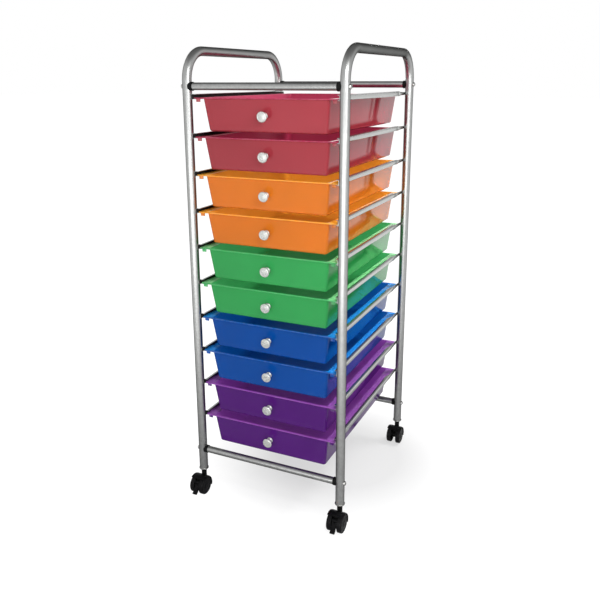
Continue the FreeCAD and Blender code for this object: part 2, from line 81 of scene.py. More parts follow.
PIVOT = HINGES["brake_lever_front_right_lift"] - Vector((LEG_X, -LEG_Y, 0))

TURN_TO_X = Matrix.Rotation(math.radians(90), 4, "Y")
BOTH_HANDS = (Matrix.Identity(4), Matrix.Diagonal((-1, 1, 1, 1)))
MERGE = 1e-6  # points nearer than this are one
SLIP = 0.0001  # room round a pin in its bore
CLEARANCE = 0.0003  # room between pieces that turn past each other
SMALL_EDGE, FINE_EDGE = 0.0004, 0.0003  # radii of small rounded edges
SHARP_FROM = 38  # degrees between faces that shade as an edge
NEARLY_UP = 0.9  # upward part of a level face's normal

# Linear colours of each tray: the plastic, a lighter copy for its inside that stands in for light through the
# walls, and a brighter copy for its runners' tops; both copies are painted light
TRAY_COLOURS = {
    "red": ((0.44, 0.052, 0.070), (0.44, 0.030, 0.095), (0.60, 0.060, 0.120)),
    "orange": ((0.76, 0.23, 0.022), (0.92, 0.42, 0.040), (0.95, 0.42, 0.025)),
    "green": ((0.052, 0.46, 0.126), (0.070, 0.48, 0.150), (0.23, 0.70, 0.28)),
    "blue": ((0.0003, 0.096, 0.44), (0.004, 0.110, 0.44), (0.004, 0.25, 0.74)),
    "purple": ((0.106, 0.011, 0.22), (0.32, 0.072, 0.44), (0.27, 0.074, 0.38)),
}


# Settings


def length(text, default):
    """A size that a user may change; like the other settings, it gets its name below."""
    return partial(
        bpy.props.FloatProperty, description=text, default=default, min=0.0, unit="LENGTH", precision=4)


def angle(text, degrees):
    """An angle that a user may change."""
    return partial(
        bpy.props.FloatProperty, description=text, default=math.radians(degrees), subtype="ANGLE")


def colour(text, red, green, blue):
    """A finish's colour, as linear red, green and blue."""
    return partial(
        bpy.props.FloatVectorProperty, description=text, default=(red, green, blue, 1.0), size=4, min=0.0,
        max=1.0, subtype="COLOR")


def power(text, default):
    """A lamp's power."""
    return partial(bpy.props.FloatProperty, description=text, default=default, min=0.0, unit="POWER")


def share(text, default):
    """A share between nothing and one."""
    return partial(
        bpy.props.FloatProperty, description=text, default=default, min=0.0, max=1.0, subtype="FACTOR")


class CartFrameSizes(bpy.types.PropertyGroup):
    """Sizes of the tubes, rails and fittings"""

    tube_radius: length("Outside radius of the side frames", TUBE_HIGH.x - LEG_X)
    tube_wall: length("Wall of the side frames' tube", 0.0012)
    leg_end: length("Height at which the legs end", TUBE_LOW.z)
    handle_top: length("Height of the top of the handles", TUBE_HIGH.z)
    handle_bend: length("Radius of the handles' corners, at the middle of the tube", 0.056)
    bar_radius: length("Outside radius of the crossbars", (BAR_HIGH.z - BAR_LOW.z) / 2)
    bar_wall: length("Wall of the crossbars' tube", 0.001)
    cap_radius: length("Outside radius of the saddle caps", CAP_HIGH.y - LEG_Y)
    cap_wrap: length("How far a saddle cap reaches round its leg", 0.0035)
    cap_plug: length("Length of a saddle cap's plug in the crossbar", 0.014)
    screw_radius: length("Radius of the frame screws' heads", SCREW_HIGH.y - LEG_Y)
    screw_socket: length("Width of the hexagon socket in a frame screw", 0.004)
    rail_gauge: length("Sheet thickness of the drawer rails", 0.001)
    rail_bend: length("Outside bend radius of the drawer rails' lower edge", 0.003)
    rail_crown: length("Outside bend radius of the drawer rails' upper edge", 0.0042)
    rail_height: length("Height of a drawer rail", 0.010)
    rail_tab: length("How far a rail's web reaches past the middle of the front leg", 0.0027)
    rail_lip: length("How far a rail's flanges stand back from the front of the trays", 0.001)
    rail_neck: length("Height of a rail where its neck starts", 0.0075)
    rail_tongue: length("Height of a rail's neck at the back leg", 0.005)
    rail_taper: length("Length of a rail's run-out and neck", 0.066)
    rail_runout: length("Length over which a rail's flanges end", 0.016)
    rail_shoulder: length("Length over which a rail drops to its neck", 0.008)
    neck_depth: length("Depth of a rail's neck", 0.0021)


class CartTraySizes(bpy.types.PropertyGroup):
    """Sizes of the trays and their knobs"""

    runner: length("Width of the rim at the sides, where it runs in the rails", 0.019)
    front_rim: length("How far the rim stands out at the front", 0.0025)
    back_rim: length("How far the rim stands out at the back", 0.003)
    taper: length("How far each wall leans in over the tray's height", 0.0075)
    wall: length("Thickness of the tray's walls and rim", 0.002)
    corner: length("Radius of the upright corners", 0.006)
    rim_corner: length("Radius of the rim's corners", 0.004)
    floor_edge: length("Radius round the floor", 0.004)
    edge: length("Small radius on the rim's edges", 0.0005)
    tab_width: length("Width of a guide tab", 0.0085)
    tab_drop: length("How far a guide tab hangs under the rim", 0.006)
    tab_thickness: length("Thickness of a guide tab", 0.0022)
    tab_clearance: length("Room between a guide tab and its rail", 0.0006)
    knob_drop: length("Distance of the knob's middle below the rim", 0.0315)
    knob_radius: length("Radius of the knob's head", 0.010)
    knob_neck: length("Radius of the knob's neck", 0.0045)
    knob_base: length("Radius of the knob's base", 0.00625)
    knob_reach: length("How far a knob stands out from the tray", 0.015)
    knob_screw: length("Radius of the head of the screw that holds a knob", 0.0042)


class CartCasterSizes(bpy.types.PropertyGroup):
    """Sizes of the casters, their sockets and brakes"""

    stem_radius: length("Radius of the caster stems", 0.004)
    socket_cone: length("Height of the cone under a leg socket's flange", 0.0026)
    socket_tip: length("Radius at the lower end of a leg socket", 0.0065)
    boss_radius: length("Radius of the boss round a stem", 0.0055)
    hood_radius: length("Outside radius of the hood over the wheels", 0.0216)
    hood_wall: length("Thickness of the hood", 0.0018)
    hood_back: angle("Where the hood ends behind the axle", -22)
    hood_front: angle("Where the hood ends in front of the axle", 118)
    web_half: length("Half the thickness of the web between the wheels", 0.0052)
    axle_boss: length("Radius of the boss round the axle", 0.0065)
    axle_radius: length("Radius of the axle", 0.0025)
    wheel_radius: length("Radius of a wheel", WHEEL_HIGH.z / 2)
    wheel_rim: length("Thickness of a wheel's rim", 0.0034)
    wheel_face: length("Thickness of a wheel's closed face", 0.0026)
    wheel_hub: length("Radius of a wheel's hub", 0.0055)
    brake_hub: length("Radius of a brake lever's hub", 0.0038)
    brake_lug: length("Half the thickness of the lug inside the lever's fork", 0.002)
    brake_tongue: length("Thickness of a brake lever's tongue", 0.0032)
    brake_pin: length("Radius of a brake lever's pin", 0.0015)


class CartColours(bpy.types.PropertyGroup):
    """Colours of the finishes, named after the record's material slots"""

    frame_paint: colour("Silver paint on the tubes", 0.38, 0.385, 0.38)
    rail_steel: colour("Silver paint on the drawer rails", 0.42, 0.43, 0.42)
    # Painted shade: a near-black finish on the inside of the rail channels, where shade falls
    rail_inside: colour("Dark primer inside the drawer rails", 0.012, 0.012, 0.012)
    bright_steel: colour("Plated screws, stems and pins", 0.42, 0.42, 0.41)
    black_plastic: colour("Caps, caster housings and brake levers", 0.004, 0.004, 0.0045)
    wheel_plastic: colour("Caster wheels", 0.006, 0.006, 0.0065)
    knob_silver: colour("Pearl lacquer on the knobs", 0.50, 0.51, 0.49)


# The inside and runner colours are painted light: lighter copies of the plastic
for tint, (outside, inside, runner) in TRAY_COLOURS.items():
    plastic = tint.title() + " plastic"
    CartColours.__annotations__.update({
        "tray_" + tint: colour(plastic, *outside),
        "tray_%s_inside" % tint: colour(plastic + " with light through it", *inside),
        "tray_%s_runner" % tint: colour(plastic + " on bright steel", *runner),
    })


class CartStage(bpy.types.PropertyGroup):
    """Floor, lamps and room"""

    floor_tone: colour("Tone of the floor", 0.42, 0.42, 0.42)
    panel_power: power("Wide soft lamp in front, behind the camera", 17.0)
    side_power: power("Tall soft lamp at the right", 5.0)
    key_power: power("Small soft lamp near the upper right", 4.0)
    back_power: power("Soft lamp at the right of the back", 3.6)
    top_power: power("Soft lamp overhead, which metal doesn't show", 30.0)
    room_light: share("Soft light from all round", 0.50)
    ceiling_light: share("How bright the ceiling is beside the walls", 0.25)
    # Painted shadow: the floor near the cart is lifted less, so it reads darker there
    floor_glow: share("How far the floor near the cart is lifted towards white", 0.60)


SETTINGS = {
    "cart_frame": CartFrameSizes, "cart_trays": CartTraySizes, "cart_casters": CartCasterSizes,
    "cart_colours": CartColours, "cart_stage": CartStage,
}
for group in SETTINGS.values():
    for label, setting in group.__annotations__.items():
        group.__annotations__[label] = setting(name=label.replace("_", " ").capitalize())


# Bmesh helpers


def only(geometry, kind):
    """The vertices, edges or faces among what a bmesh operator gave back."""
    return [item for item in geometry if isinstance(item, kind)]


def polyline(bm, points):
    """Vertices at the given points, joined by edges in a row."""
    verts = [bm.verts.new(point) for point in points]
    for pair in zip(verts, verts[1:]):
        bm.edges.new(pair)
    return verts


def round_off(bm, geometry, radius, segments, kind="EDGES"):
    """Gives edges or vertices an even round."""
    bmesh.ops.bevel(
        bm, geom=geometry, offset=radius, segments=segments, profile=0.5, affect=kind, material=-1)


def face_out(bm, axis=None):
    """Turns every face outwards; the furthest face of an open sheet along an axis looks that way."""
    bmesh.ops.recalc_face_normals(bm, faces=bm.faces)
    if axis is not None:
        furthest = max(bm.faces, key=lambda face: face.calc_center_median()[axis])
        if furthest.normal[axis] < 0:
            bmesh.ops.reverse_faces(bm, faces=bm.faces)


def spun(profile, steps):
    """A turned piece about Z, from (radius, height) corners; a third number rounds a corner."""
    bm = bmesh.new()
    points = polyline(bm, [(corner[0], 0.0, corner[1]) for corner in profile])
    for point, corner in zip(points, profile):
        if len(corner) == 3:
            round_off(bm, [point], corner[2], 4, "VERTICES")
    bmesh.ops.spin(
        bm, geom=bm.verts[:] + bm.edges[:], cent=(0, 0, 0), axis=(0, 0, 1), angle=math.tau, steps=steps,
        use_merge=True)
    bmesh.ops.remove_doubles(bm, verts=bm.verts, dist=MERGE)
    face_out(bm)
    return bm


def soften(bm, width, segments=2, sharp=40):
    """Rounds every edge whose faces meet more sharply than the given degrees."""
    edges = [edge for edge in bm.edges if edge.is_manifold and edge.calc_face_angle() > math.radians(sharp)]
    round_off(bm, edges, width, segments)


def block(low, high, edge):
    """A small moulded block between two corners, its edges rounded."""
    bm = bmesh.new()
    low, high = Vector(low), Vector(high)
    middle = Matrix.Translation((low + high) / 2)
    bmesh.ops.create_cube(bm, size=1.0, matrix=middle @ Matrix.Diagonal((*(high - low), 1)))
    soften(bm, edge)
    return bm


def disc(radius, low, high, edge, steps=32):
    """A short round bar along X between two places, its ends rounded."""
    bm = spun([(0, low), (radius, low, edge), (radius, high, edge), (0, high)], steps)
    bm.transform(TURN_TO_X)
    return bm


def add(bm, *others):
    """Takes other bmeshes into one, as more bodies of the same piece."""
    for other in others:
        carried = bpy.data.meshes.new("carried")
        other.to_mesh(carried)
        other.free()
        bm.from_mesh(carried)
        bpy.data.meshes.remove(carried)
    return bm


def copies(bm, matrices):
    """The same shape at several places in one bmesh."""
    whole = bmesh.new()
    for matrix in matrices:
        copy = bm.copy()
        copy.transform(matrix)
        if matrix.is_negative:
            bmesh.ops.reverse_faces(copy, faces=copy.faces)
        add(whole, copy)
    bm.free()
    return whole


def at_leg(place, height=0.0):
    """Takes a shape drawn on the axis of a right-hand leg to one of the four legs."""
    end, side = PLACES[place]
    return Matrix.Translation((side * LEG_X, end * LEG_Y, height)) @ Matrix.Diagonal((side, 1, 1, 1))


def run_on(bm, ring, way):
    """Runs a tube's open end straight on, and gives back the new end."""
    grown = bmesh.ops.extrude_edge_only(bm, edges=ring)["geom"]
    verts = only(grown, bmesh.types.BMVert)
    bmesh.ops.translate(bm, verts=verts, vec=way)
    return [edge for edge in only(grown, bmesh.types.BMEdge) if all(vert in verts for vert in edge.verts)]


def bend_over(bm, ring, centre, steps=20):
    """Bends a tube's open end a quarter turn from front to back, and gives back the new end."""
    verts = list({vert for edge in ring for vert in edge.verts})
    grown = bmesh.ops.spin(
        bm, geom=ring + verts, cent=centre, axis=(-1, 0, 0), angle=math.radians(90), steps=steps,
        use_duplicate=False)
    return only(grown["geom_last"], bmesh.types.BMEdge)


def tube_end(bm, radius, matrix, steps=40):
    """The open ring that a tube starts from."""
    verts = bmesh.ops.create_circle(bm, cap_ends=False, segments=steps, radius=radius, matrix=matrix)["verts"]
    return list({edge for vert in verts for edge in vert.link_edges})


def give_wall(bm, thickness):
    """Gives an open sheet its thickness, inwards."""
    bmesh.ops.solidify(bm, geom=bm.faces[:], thickness=thickness)


def new_object(name, data):
    """An object in the scene that holds a mesh, a lamp or a camera."""
    holder = bpy.data.objects.new(name, data)
    bpy.context.scene.collection.objects.link(holder)
    return holder


def make_piece(name, bm, body, slot):
    """Turns a bmesh into a finished piece that rides on a body."""
    mesh = bpy.data.meshes.new(name)
    bm.to_mesh(mesh)
    bm.free()
    mesh.shade_smooth()
    mesh.set_sharp_from_angle(angle=math.radians(SHARP_FROM))
    mesh.materials.append(bpy.data.materials[finish_name(slot)])
    piece = new_object(name, mesh)
    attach(piece, body)
    return piece


def stand_in(name, bm, body, node):
    """A finished piece that takes the place and the finish of one CAD node."""
    piece = make_piece(name, bm, body, SLOTS[node])
    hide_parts(node)
    return piece


# Finishes

NOISE_SPAN = (0.3, 0.7)  # between which most of the noise lies
PATCH_SPAN = (0.38, 0.62)  # noise between which patches of wear begin and are full
EDGE_SPAN = (0.51, 0.60)  # pointiness between which an edge begins to wear and is worn


def finish_name(slot):
    """The material that stands for one of the record's slots."""
    return slot.replace("_", " ").title()


def new_material(name):
    """A material with its node tree and its shader."""
    material = bpy.data.materials.new(name)
    material.use_nodes = True
    return material, material.node_tree, material.node_tree.nodes["Principled BSDF"]


def new_group(name, inputs, outputs):
    """An empty shader node group, what it is given and what it makes; sockets named Color hold colours."""
    group = bpy.data.node_groups.new(name, "ShaderNodeTree")
    for way, labels in (("INPUT", inputs), ("OUTPUT", outputs)):
        for label in labels:
            kind = "NodeSocketColor" if label.endswith("Color") else "NodeSocketFloat"
            group.interface.new_socket(name=label, in_out=way, socket_type=kind)
    return group, group.nodes.new("NodeGroupInput").outputs, group.nodes.new("NodeGroupOutput").inputs


def add_noise(group, scale, detail, distortion=0.0):
    """Noise on Object coordinates whose scale comes from a socket."""
    place = group.nodes.new("ShaderNodeTexCoord")
    noise = group.nodes.new("ShaderNodeTexNoise")
    noise.inputs["Detail"].default_value = detail
    noise.inputs["Distortion"].default_value = distortion
    group.links.new(place.outputs["Object"], noise.inputs["Vector"])
    group.links.new(scale, noise.inputs["Scale"])
    return noise.outputs["Fac"]


def feed(tree, value, socket):
    """Links another node's socket to an input, or sets the input to a number or a colour."""
    if isinstance(value, bpy.types.NodeSocket):
        tree.links.new(value, socket)
    else:
        socket.default_value = value


def add_range(tree, value, low, high, to_low, to_high):
    """Maps a value from one range to another; the ends are numbers or sockets."""
    node = tree.nodes.new("ShaderNodeMapRange")
    given = {"Value": value, "From Min": low, "From Max": high, "To Min": to_low, "To Max": to_high}
    for label, end in given.items():
        feed(tree, end, node.inputs[label])
    return node.outputs["Result"]


def add_math(tree, operation, first, second):
    """Sum, product or larger of two values, which are sockets or numbers."""
    node = tree.nodes.new("ShaderNodeMath")
    node.operation = operation
    feed(tree, first, node.inputs[0])
    feed(tree, second, node.inputs[1])
    return node.outputs["Value"]


def add_scale(tree, tint, factor):
    """A colour made lighter or darker by a factor."""
    node = tree.nodes.new("ShaderNodeVectorMath")
    node.operation = "SCALE"
    feed(tree, tint, node.inputs[0])
    feed(tree, factor, node.inputs["Scale"])
    return node.outputs["Vector"]


def build_tone_drift():
    """Slow and fine changes of tone in a colour."""
    group, given, made = new_group("Tone Drift", ("Color", "Scale", "Amount"), ("Color",))
    noise = add_noise(group, given["Scale"], 3.0)
    swing = add_range(group, noise, *NOISE_SPAN, -1.0, 1.0)
    change = add_math(group, "MULTIPLY", swing, given["Amount"])
    tone = add_scale(group, given["Color"], add_math(group, "ADD", change, 1.0))
    group.links.new(tone, made["Color"])


def build_edge_wear_and_highlight():
    """A second colour along edges, broken up by noise: rubbed wear, on the trays partly a painted highlight."""
    group, given, made = new_group(
        "Edge Wear", ("Color", "Worn Color", "Scale", "Amount"), ("Color", "Mask"))
    shape = group.nodes.new("ShaderNodeNewGeometry")
    edge = add_range(group, shape.outputs["Pointiness"], *EDGE_SPAN, 0.0, 1.0)
    patches = add_range(group, add_noise(group, given["Scale"], 4.0), *PATCH_SPAN, 0.0, 1.0)
    worn = add_math(group, "MULTIPLY", edge, patches)
    mask = add_math(group, "MULTIPLY", worn, given["Amount"])
    mix = group.nodes.new("ShaderNodeMix")
    mix.data_type = "RGBA"
    sockets = {socket.identifier: socket for socket in list(mix.inputs) + list(mix.outputs)}
    group.links.new(mask, sockets["Factor_Float"])
    group.links.new(given["Color"], sockets["A_Color"])
    group.links.new(given["Worn Color"], sockets["B_Color"])
    group.links.new(sockets["Result_Color"], made["Color"])
    group.links.new(mask, made["Mask"])


def build_handled_sheen():
    """Roughness that drifts between two values, as on a surface that is touched and wiped."""
    group, given, made = new_group("Handled Sheen", ("Scale", "Smooth", "Dull"), ("Roughness",))
    noise = add_noise(group, given["Scale"], 4.0, 0.6)
    rough = add_range(group, noise, *NOISE_SPAN, given["Smooth"], given["Dull"])
    group.links.new(rough, made["Roughness"])


def build_skin_grain():
    """Height of a fine skin: paint flecks or the texture of a mould, over a slower wave."""
    group, given, made = new_group("Skin Grain", ("Scale", "Wave Scale", "Wave"), ("Height",))
    fine = add_noise(group, given["Scale"], 2.0)
    slow = add_noise(group, given["Wave Scale"], 1.0)
    wave = add_math(group, "MULTIPLY", slow, given["Wave"])
    group.links.new(add_math(group, "ADD", fine, wave), made["Height"])


def place_group(tree, name, *values):
    """Puts a node group into a material with values for its inputs: numbers, colours or sockets."""
    node = tree.nodes.new("ShaderNodeGroup")
    node.node_tree = bpy.data.node_groups[name]
    for value, socket in zip(values, node.inputs, strict=True):
        feed(tree, value, socket)
    return node.outputs


# Recipes of the finishes: drift, fleck and wear are a scale and an amount, worn is the colour of rubbed
# edges (where left out, as on the trays, a lighter colour that is partly a painted highlight), sheen is a
# scale and two roughnesses, grain is a scale, a slower wave's scale and its share, and relief is the
# strength and distance of the bump
PAINT = {
    "drift": (14.0, 0.03), "fleck": (2600.0, 0.04), "worn": (0.20, 0.20, 0.20, 1.0), "wear": (180.0, 0.3),
    "sheen": (12.0, 0.29, 0.35), "grain": (2400.0, 90.0, 0.3), "relief": (0.01, 0.0001),
    "shader": {"Metallic": 1.0, "Specular Tint": (0.02, 0.02, 0.02, 1.0)},
}
RAIL = {
    **PAINT, "drift": (14.0, 0.04), "fleck": (2600.0, 0.05), "worn": (0.22, 0.22, 0.22, 1.0),
    "sheen": (12.0, 0.11, 0.17), "shader": {"Metallic": 1.0},
}
# Painted shade for the inside of the rail channels, near black where shade falls
RAIL_SHADE = {
    "drift": (40.0, 0.15), "fleck": (1400.0, 0.2), "worn": (0.05, 0.05, 0.05, 1.0), "wear": (320.0, 0.5),
    "sheen": (70.0, 0.55, 0.7), "grain": (1600.0, 160.0, 0.5), "relief": (0.2, 0.0002),
    "shader": {"Specular IOR Level": 0.15},
}
STEEL = {
    "drift": (60.0, 0.06), "fleck": (1500.0, 0.05), "worn": (0.42, 0.40, 0.37, 1.0), "wear": (500.0, 0.4),
    "sheen": (160.0, 0.16, 0.30), "grain": (1800.0, 200.0, 0.5), "relief": (0.05, 0.0001),
    "shader": {"Metallic": 1.0},
}
BLACK = {
    "drift": (40.0, 0.18), "fleck": (1400.0, 0.20), "worn": (0.018, 0.018, 0.017, 1.0), "wear": (320.0, 0.6),
    "sheen": (70.0, 0.28, 0.42), "grain": (1600.0, 160.0, 0.5), "relief": (0.15, 0.0002),
    "shader": {"Specular IOR Level": 0.06},
}
WHEEL = {
    "drift": (55.0, 0.22), "fleck": (900.0, 0.22), "worn": (0.024, 0.023, 0.022, 1.0), "wear": (260.0, 0.75),
    "sheen": (90.0, 0.26, 0.44), "grain": (1300.0, 140.0, 0.5), "relief": (0.15, 0.0002),
    "shader": {"Specular IOR Level": 0.06},
}
KNOB = {
    "drift": (150.0, 0.04), "fleck": (2800.0, 0.05), "worn": (0.50, 0.49, 0.46, 1.0), "wear": (500.0, 0.4),
    "sheen": (180.0, 0.20, 0.32), "grain": (2400.0, 300.0, 0.4), "relief": (0.04, 0.0001),
    "shader": {"Metallic": 0.35, "Coat Weight": 0.5, "Coat Roughness": 0.08},
}
# Wear lightens the trays' edges: partly rubbed plastic, partly a painted highlight along the rim and corners
TRAY = {
    "drift": (9.0, 0.05), "fleck": (1700.0, 0.05), "wear": (140.0, 0.55),
    "sheen": (18.0, 0.03, 0.06), "grain": (2200.0, 26.0, 2.0), "relief": (0.02, 0.0002),
    "shader": {"Specular IOR Level": 0.06, "Transmission Weight": 0.4},
}
# Painted light: a lighter copy of the plastic that also glows, for the inside faces and the rim's edges, standing
# in for light through the walls
GLOWING_INSIDE = {
    **TRAY, "sheen": (18.0, 0.30, 0.45),
    "shader": {"Specular IOR Level": 0.02, "Transmission Weight": 0.4, "Emission Strength": 0.12},
}
# Painted light: a brighter copy of the plastic on the level tops of the runners, as if lit from above
LIT_RUNNER = {**TRAY, "shader": {"Specular IOR Level": 0.06}}
RECIPES = {
    "frame_paint": PAINT, "rail_steel": RAIL, "rail_inside": RAIL_SHADE, "bright_steel": STEEL,
    "black_plastic": BLACK, "wheel_plastic": WHEEL, "knob_silver": KNOB,
}
for tint in TRAY_COLOURS:
    RECIPES.update({"tray_" + tint: TRAY, "tray_%s_inside" % tint: GLOWING_INSIDE, "tray_%s_runner" % tint: LIT_RUNNER})


def paler_wear_and_highlight(shade, amount=0.25):
    """A colour moved towards white, for the trays' edges: partly rubbed plastic, partly a painted highlight."""
    return [channel + (1.0 - channel) * amount for channel in shade[:3]] + [1.0]


def build_finish(slot, shade):
    """A procedural finish: drifting tone, flecks, rubbed edges, changing sheen and a fine skin."""
    recipe = RECIPES[slot]
    _, tree, shader = new_material(finish_name(slot))
    # Every finish gets its colour as emission colour, but only the trays' glowing inside finish gives it strength:
    # painted light
    shader.inputs["Emission Color"].default_value = shade
    for label, value in recipe["shader"].items():
        shader.inputs[label].default_value = value
    drift = place_group(tree, "Tone Drift", list(shade), *recipe["drift"])
    fleck = place_group(tree, "Tone Drift", drift["Color"], *recipe["fleck"])
    # On the trays the lighter edges are partly rubbed plastic and partly a painted highlight
    worn = recipe.get("worn") or paler_wear_and_highlight(shade)
    wear = place_group(tree, "Edge Wear", fleck["Color"], worn, *recipe["wear"])
    tree.links.new(wear["Color"], shader.inputs["Base Color"])
    sheen = place_group(tree, "Handled Sheen", *recipe["sheen"])
    tree.links.new(sheen["Roughness"], shader.inputs["Roughness"])
    grain = place_group(tree, "Skin Grain", *recipe["grain"])
    bump = tree.nodes.new("ShaderNodeBump")
    bump.inputs["Strength"].default_value, bump.inputs["Distance"].default_value = recipe["relief"]
    tree.links.new(grain["Height"], bump.inputs["Height"])
    tree.links.new(bump.outputs["Normal"], shader.inputs["Normal"])


class CART_OT_finishes(bpy.types.Operator):
    """Builds the paints, metals and plastics, and gives the carried-over pins theirs"""

    bl_idname = "cart.finishes"
    bl_label = "Finishes"

    def execute(self, context):
        for build_group in (build_tone_drift, build_edge_wear_and_highlight, build_handled_sheen, build_skin_grain):
            build_group()
        for slot in RECIPES:
            build_finish(slot, getattr(context.scene.cart_colours, slot))
        for name, node in frame["nodes"].items():
            node.data.materials.clear()
            node.data.materials.append(bpy.data.materials[finish_name(SLOTS[name])])
        return {"FINISHED"}


# Frame pieces


class CART_OT_side_frames(bpy.types.Operator):
    """Bends the two side frames, each one tube with two legs and a handle"""

    bl_idname = "cart.side_frames"
    bl_label = "Side Frames"

    def execute(self, context):
        sizes = context.scene.cart_frame
        shoulder = sizes.handle_top - sizes.tube_radius - sizes.handle_bend
        handle_half = LEG_Y - sizes.handle_bend
        rise = Vector((0, 0, shoulder - sizes.leg_end))
        for side, hand in SIDES.items():
            bm = bmesh.new()
            x = hand * LEG_X
            end = tube_end(bm, sizes.tube_radius, Matrix.Translation((x, -LEG_Y, sizes.leg_end)))
            end = run_on(bm, end, rise)
            end = bend_over(bm, end, (x, -handle_half, shoulder))
            end = run_on(bm, end, (0, 2 * handle_half, 0))
            end = bend_over(bm, end, (x, handle_half, shoulder))
            run_on(bm, end, -rise)
            face_out(bm)
            give_wall(bm, sizes.tube_wall)
            stand_in("tube_frame_" + side, bm, "frame", "side_frame_" + side)
        return {"FINISHED"}


class CART_OT_crossbars(bpy.types.Operator):
    """Makes the four thin tubes between the side frames"""

    bl_idname = "cart.crossbars"
    bl_label = "Crossbars"

    def execute(self, context):
        sizes = context.scene.cart_frame
        for level in LEVELS:
            for end in ENDS:
                node = "crossbar_%s_%s" % (level, end)
                low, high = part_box(node)
                bm = bmesh.new()
                start = Matrix.Translation((low.x, ENDS[end] * LEG_Y, (low.z + high.z) / 2))
                ring = tube_end(bm, sizes.bar_radius, start @ TURN_TO_X)
                run_on(bm, ring, (high.x - low.x, 0, 0))
                face_out(bm)
                give_wall(bm, sizes.bar_wall)
                stand_in("thin_tube_%s_%s" % (level, end), bm, "frame", node)
        return {"FINISHED"}


def bar_places():
    """The eight places where a crossbar meets a leg."""
    heights = [sum(corner.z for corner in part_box("crossbar_%s_front" % level)) / 2 for level in LEVELS]
    return [at_leg(place, height) for place in PLACES for height in heights]


def seat_on_tube(verts, radius, hand, limit):
    """Moves the end of a fitting along X onto the round of a leg, no further than a limit."""
    for vert in verts:
        across = min(abs(vert.co.y), radius)
        vert.co.x = hand * max(math.sqrt(radius ** 2 - across ** 2), limit)


class CART_OT_saddle_caps(bpy.types.Operator):
    """Makes the black caps between the crossbars and the legs"""

    bl_idname = "cart.saddle_caps"
    bl_label = "Saddle Caps"

    def execute(self, context):
        sizes = context.scene.cart_frame
        bar_end = BAR_HIGH.x - LEG_X
        leg_face = -sizes.tube_radius
        reach = leg_face + sizes.cap_wrap - bar_end
        plug_radius = sizes.bar_radius - sizes.bar_wall
        bm = spun([
            (0, -sizes.cap_plug), (plug_radius, -sizes.cap_plug), (plug_radius, 0),
            (sizes.cap_radius, 0, 0.0008), (sizes.cap_radius, reach), (sizes.cap_radius * 0.6, reach),
            (0, reach),
        ], 48)
        bm.transform(Matrix.Translation((bar_end, 0, 0)) @ TURN_TO_X)
        rim = [vert for vert in bm.verts if vert.co.x > leg_face]
        seat_on_tube(rim, sizes.tube_radius, -1, sizes.tube_radius - sizes.cap_wrap)
        stand_in("black_saddle_caps", copies(bm, bar_places()), "frame", "saddle_caps")
        return {"FINISHED"}


class CART_OT_frame_screws(bpy.types.Operator):
    """Makes the domed screws with hexagon sockets on the outer sides of the legs"""

    bl_idname = "cart.frame_screws"
    bl_label = "Frame Screws"

    def execute(self, context):
        sizes = context.scene.cart_frame
        top = SCREW_HIGH.x - LEG_X
        rise = top - sizes.tube_radius
        socket = sizes.screw_socket / 2
        seat = math.sqrt(sizes.tube_radius ** 2 - sizes.screw_radius ** 2)
        shoulder = top - 0.55 * rise
        bm = spun([
            (0, shoulder), (socket, shoulder), (socket, top), (0.62 * sizes.screw_radius, top, 0.0006),
            (sizes.screw_radius, shoulder, 0.0008), (sizes.screw_radius, seat),
            (sizes.screw_radius * 0.5, seat), (0, seat),
        ], 48)
        well = [vert for vert in bm.verts if abs(vert.co.xy.length - socket) < MERGE]
        for vert in well:
            around = math.atan2(vert.co.y, vert.co.x) % math.radians(60) - math.radians(30)
            vert.co.xy *= 1 / math.cos(around)
        bm.transform(TURN_TO_X)
        seated = [vert for vert in bm.verts if vert.co.x < sizes.tube_radius - 0.3 * rise]
        seat_on_tube(seated, sizes.tube_radius, 1, 0.0)
        stand_in("domed_frame_screws", copies(bm, bar_places()), "frame", "frame_screws")
        return {"FINISHED"}


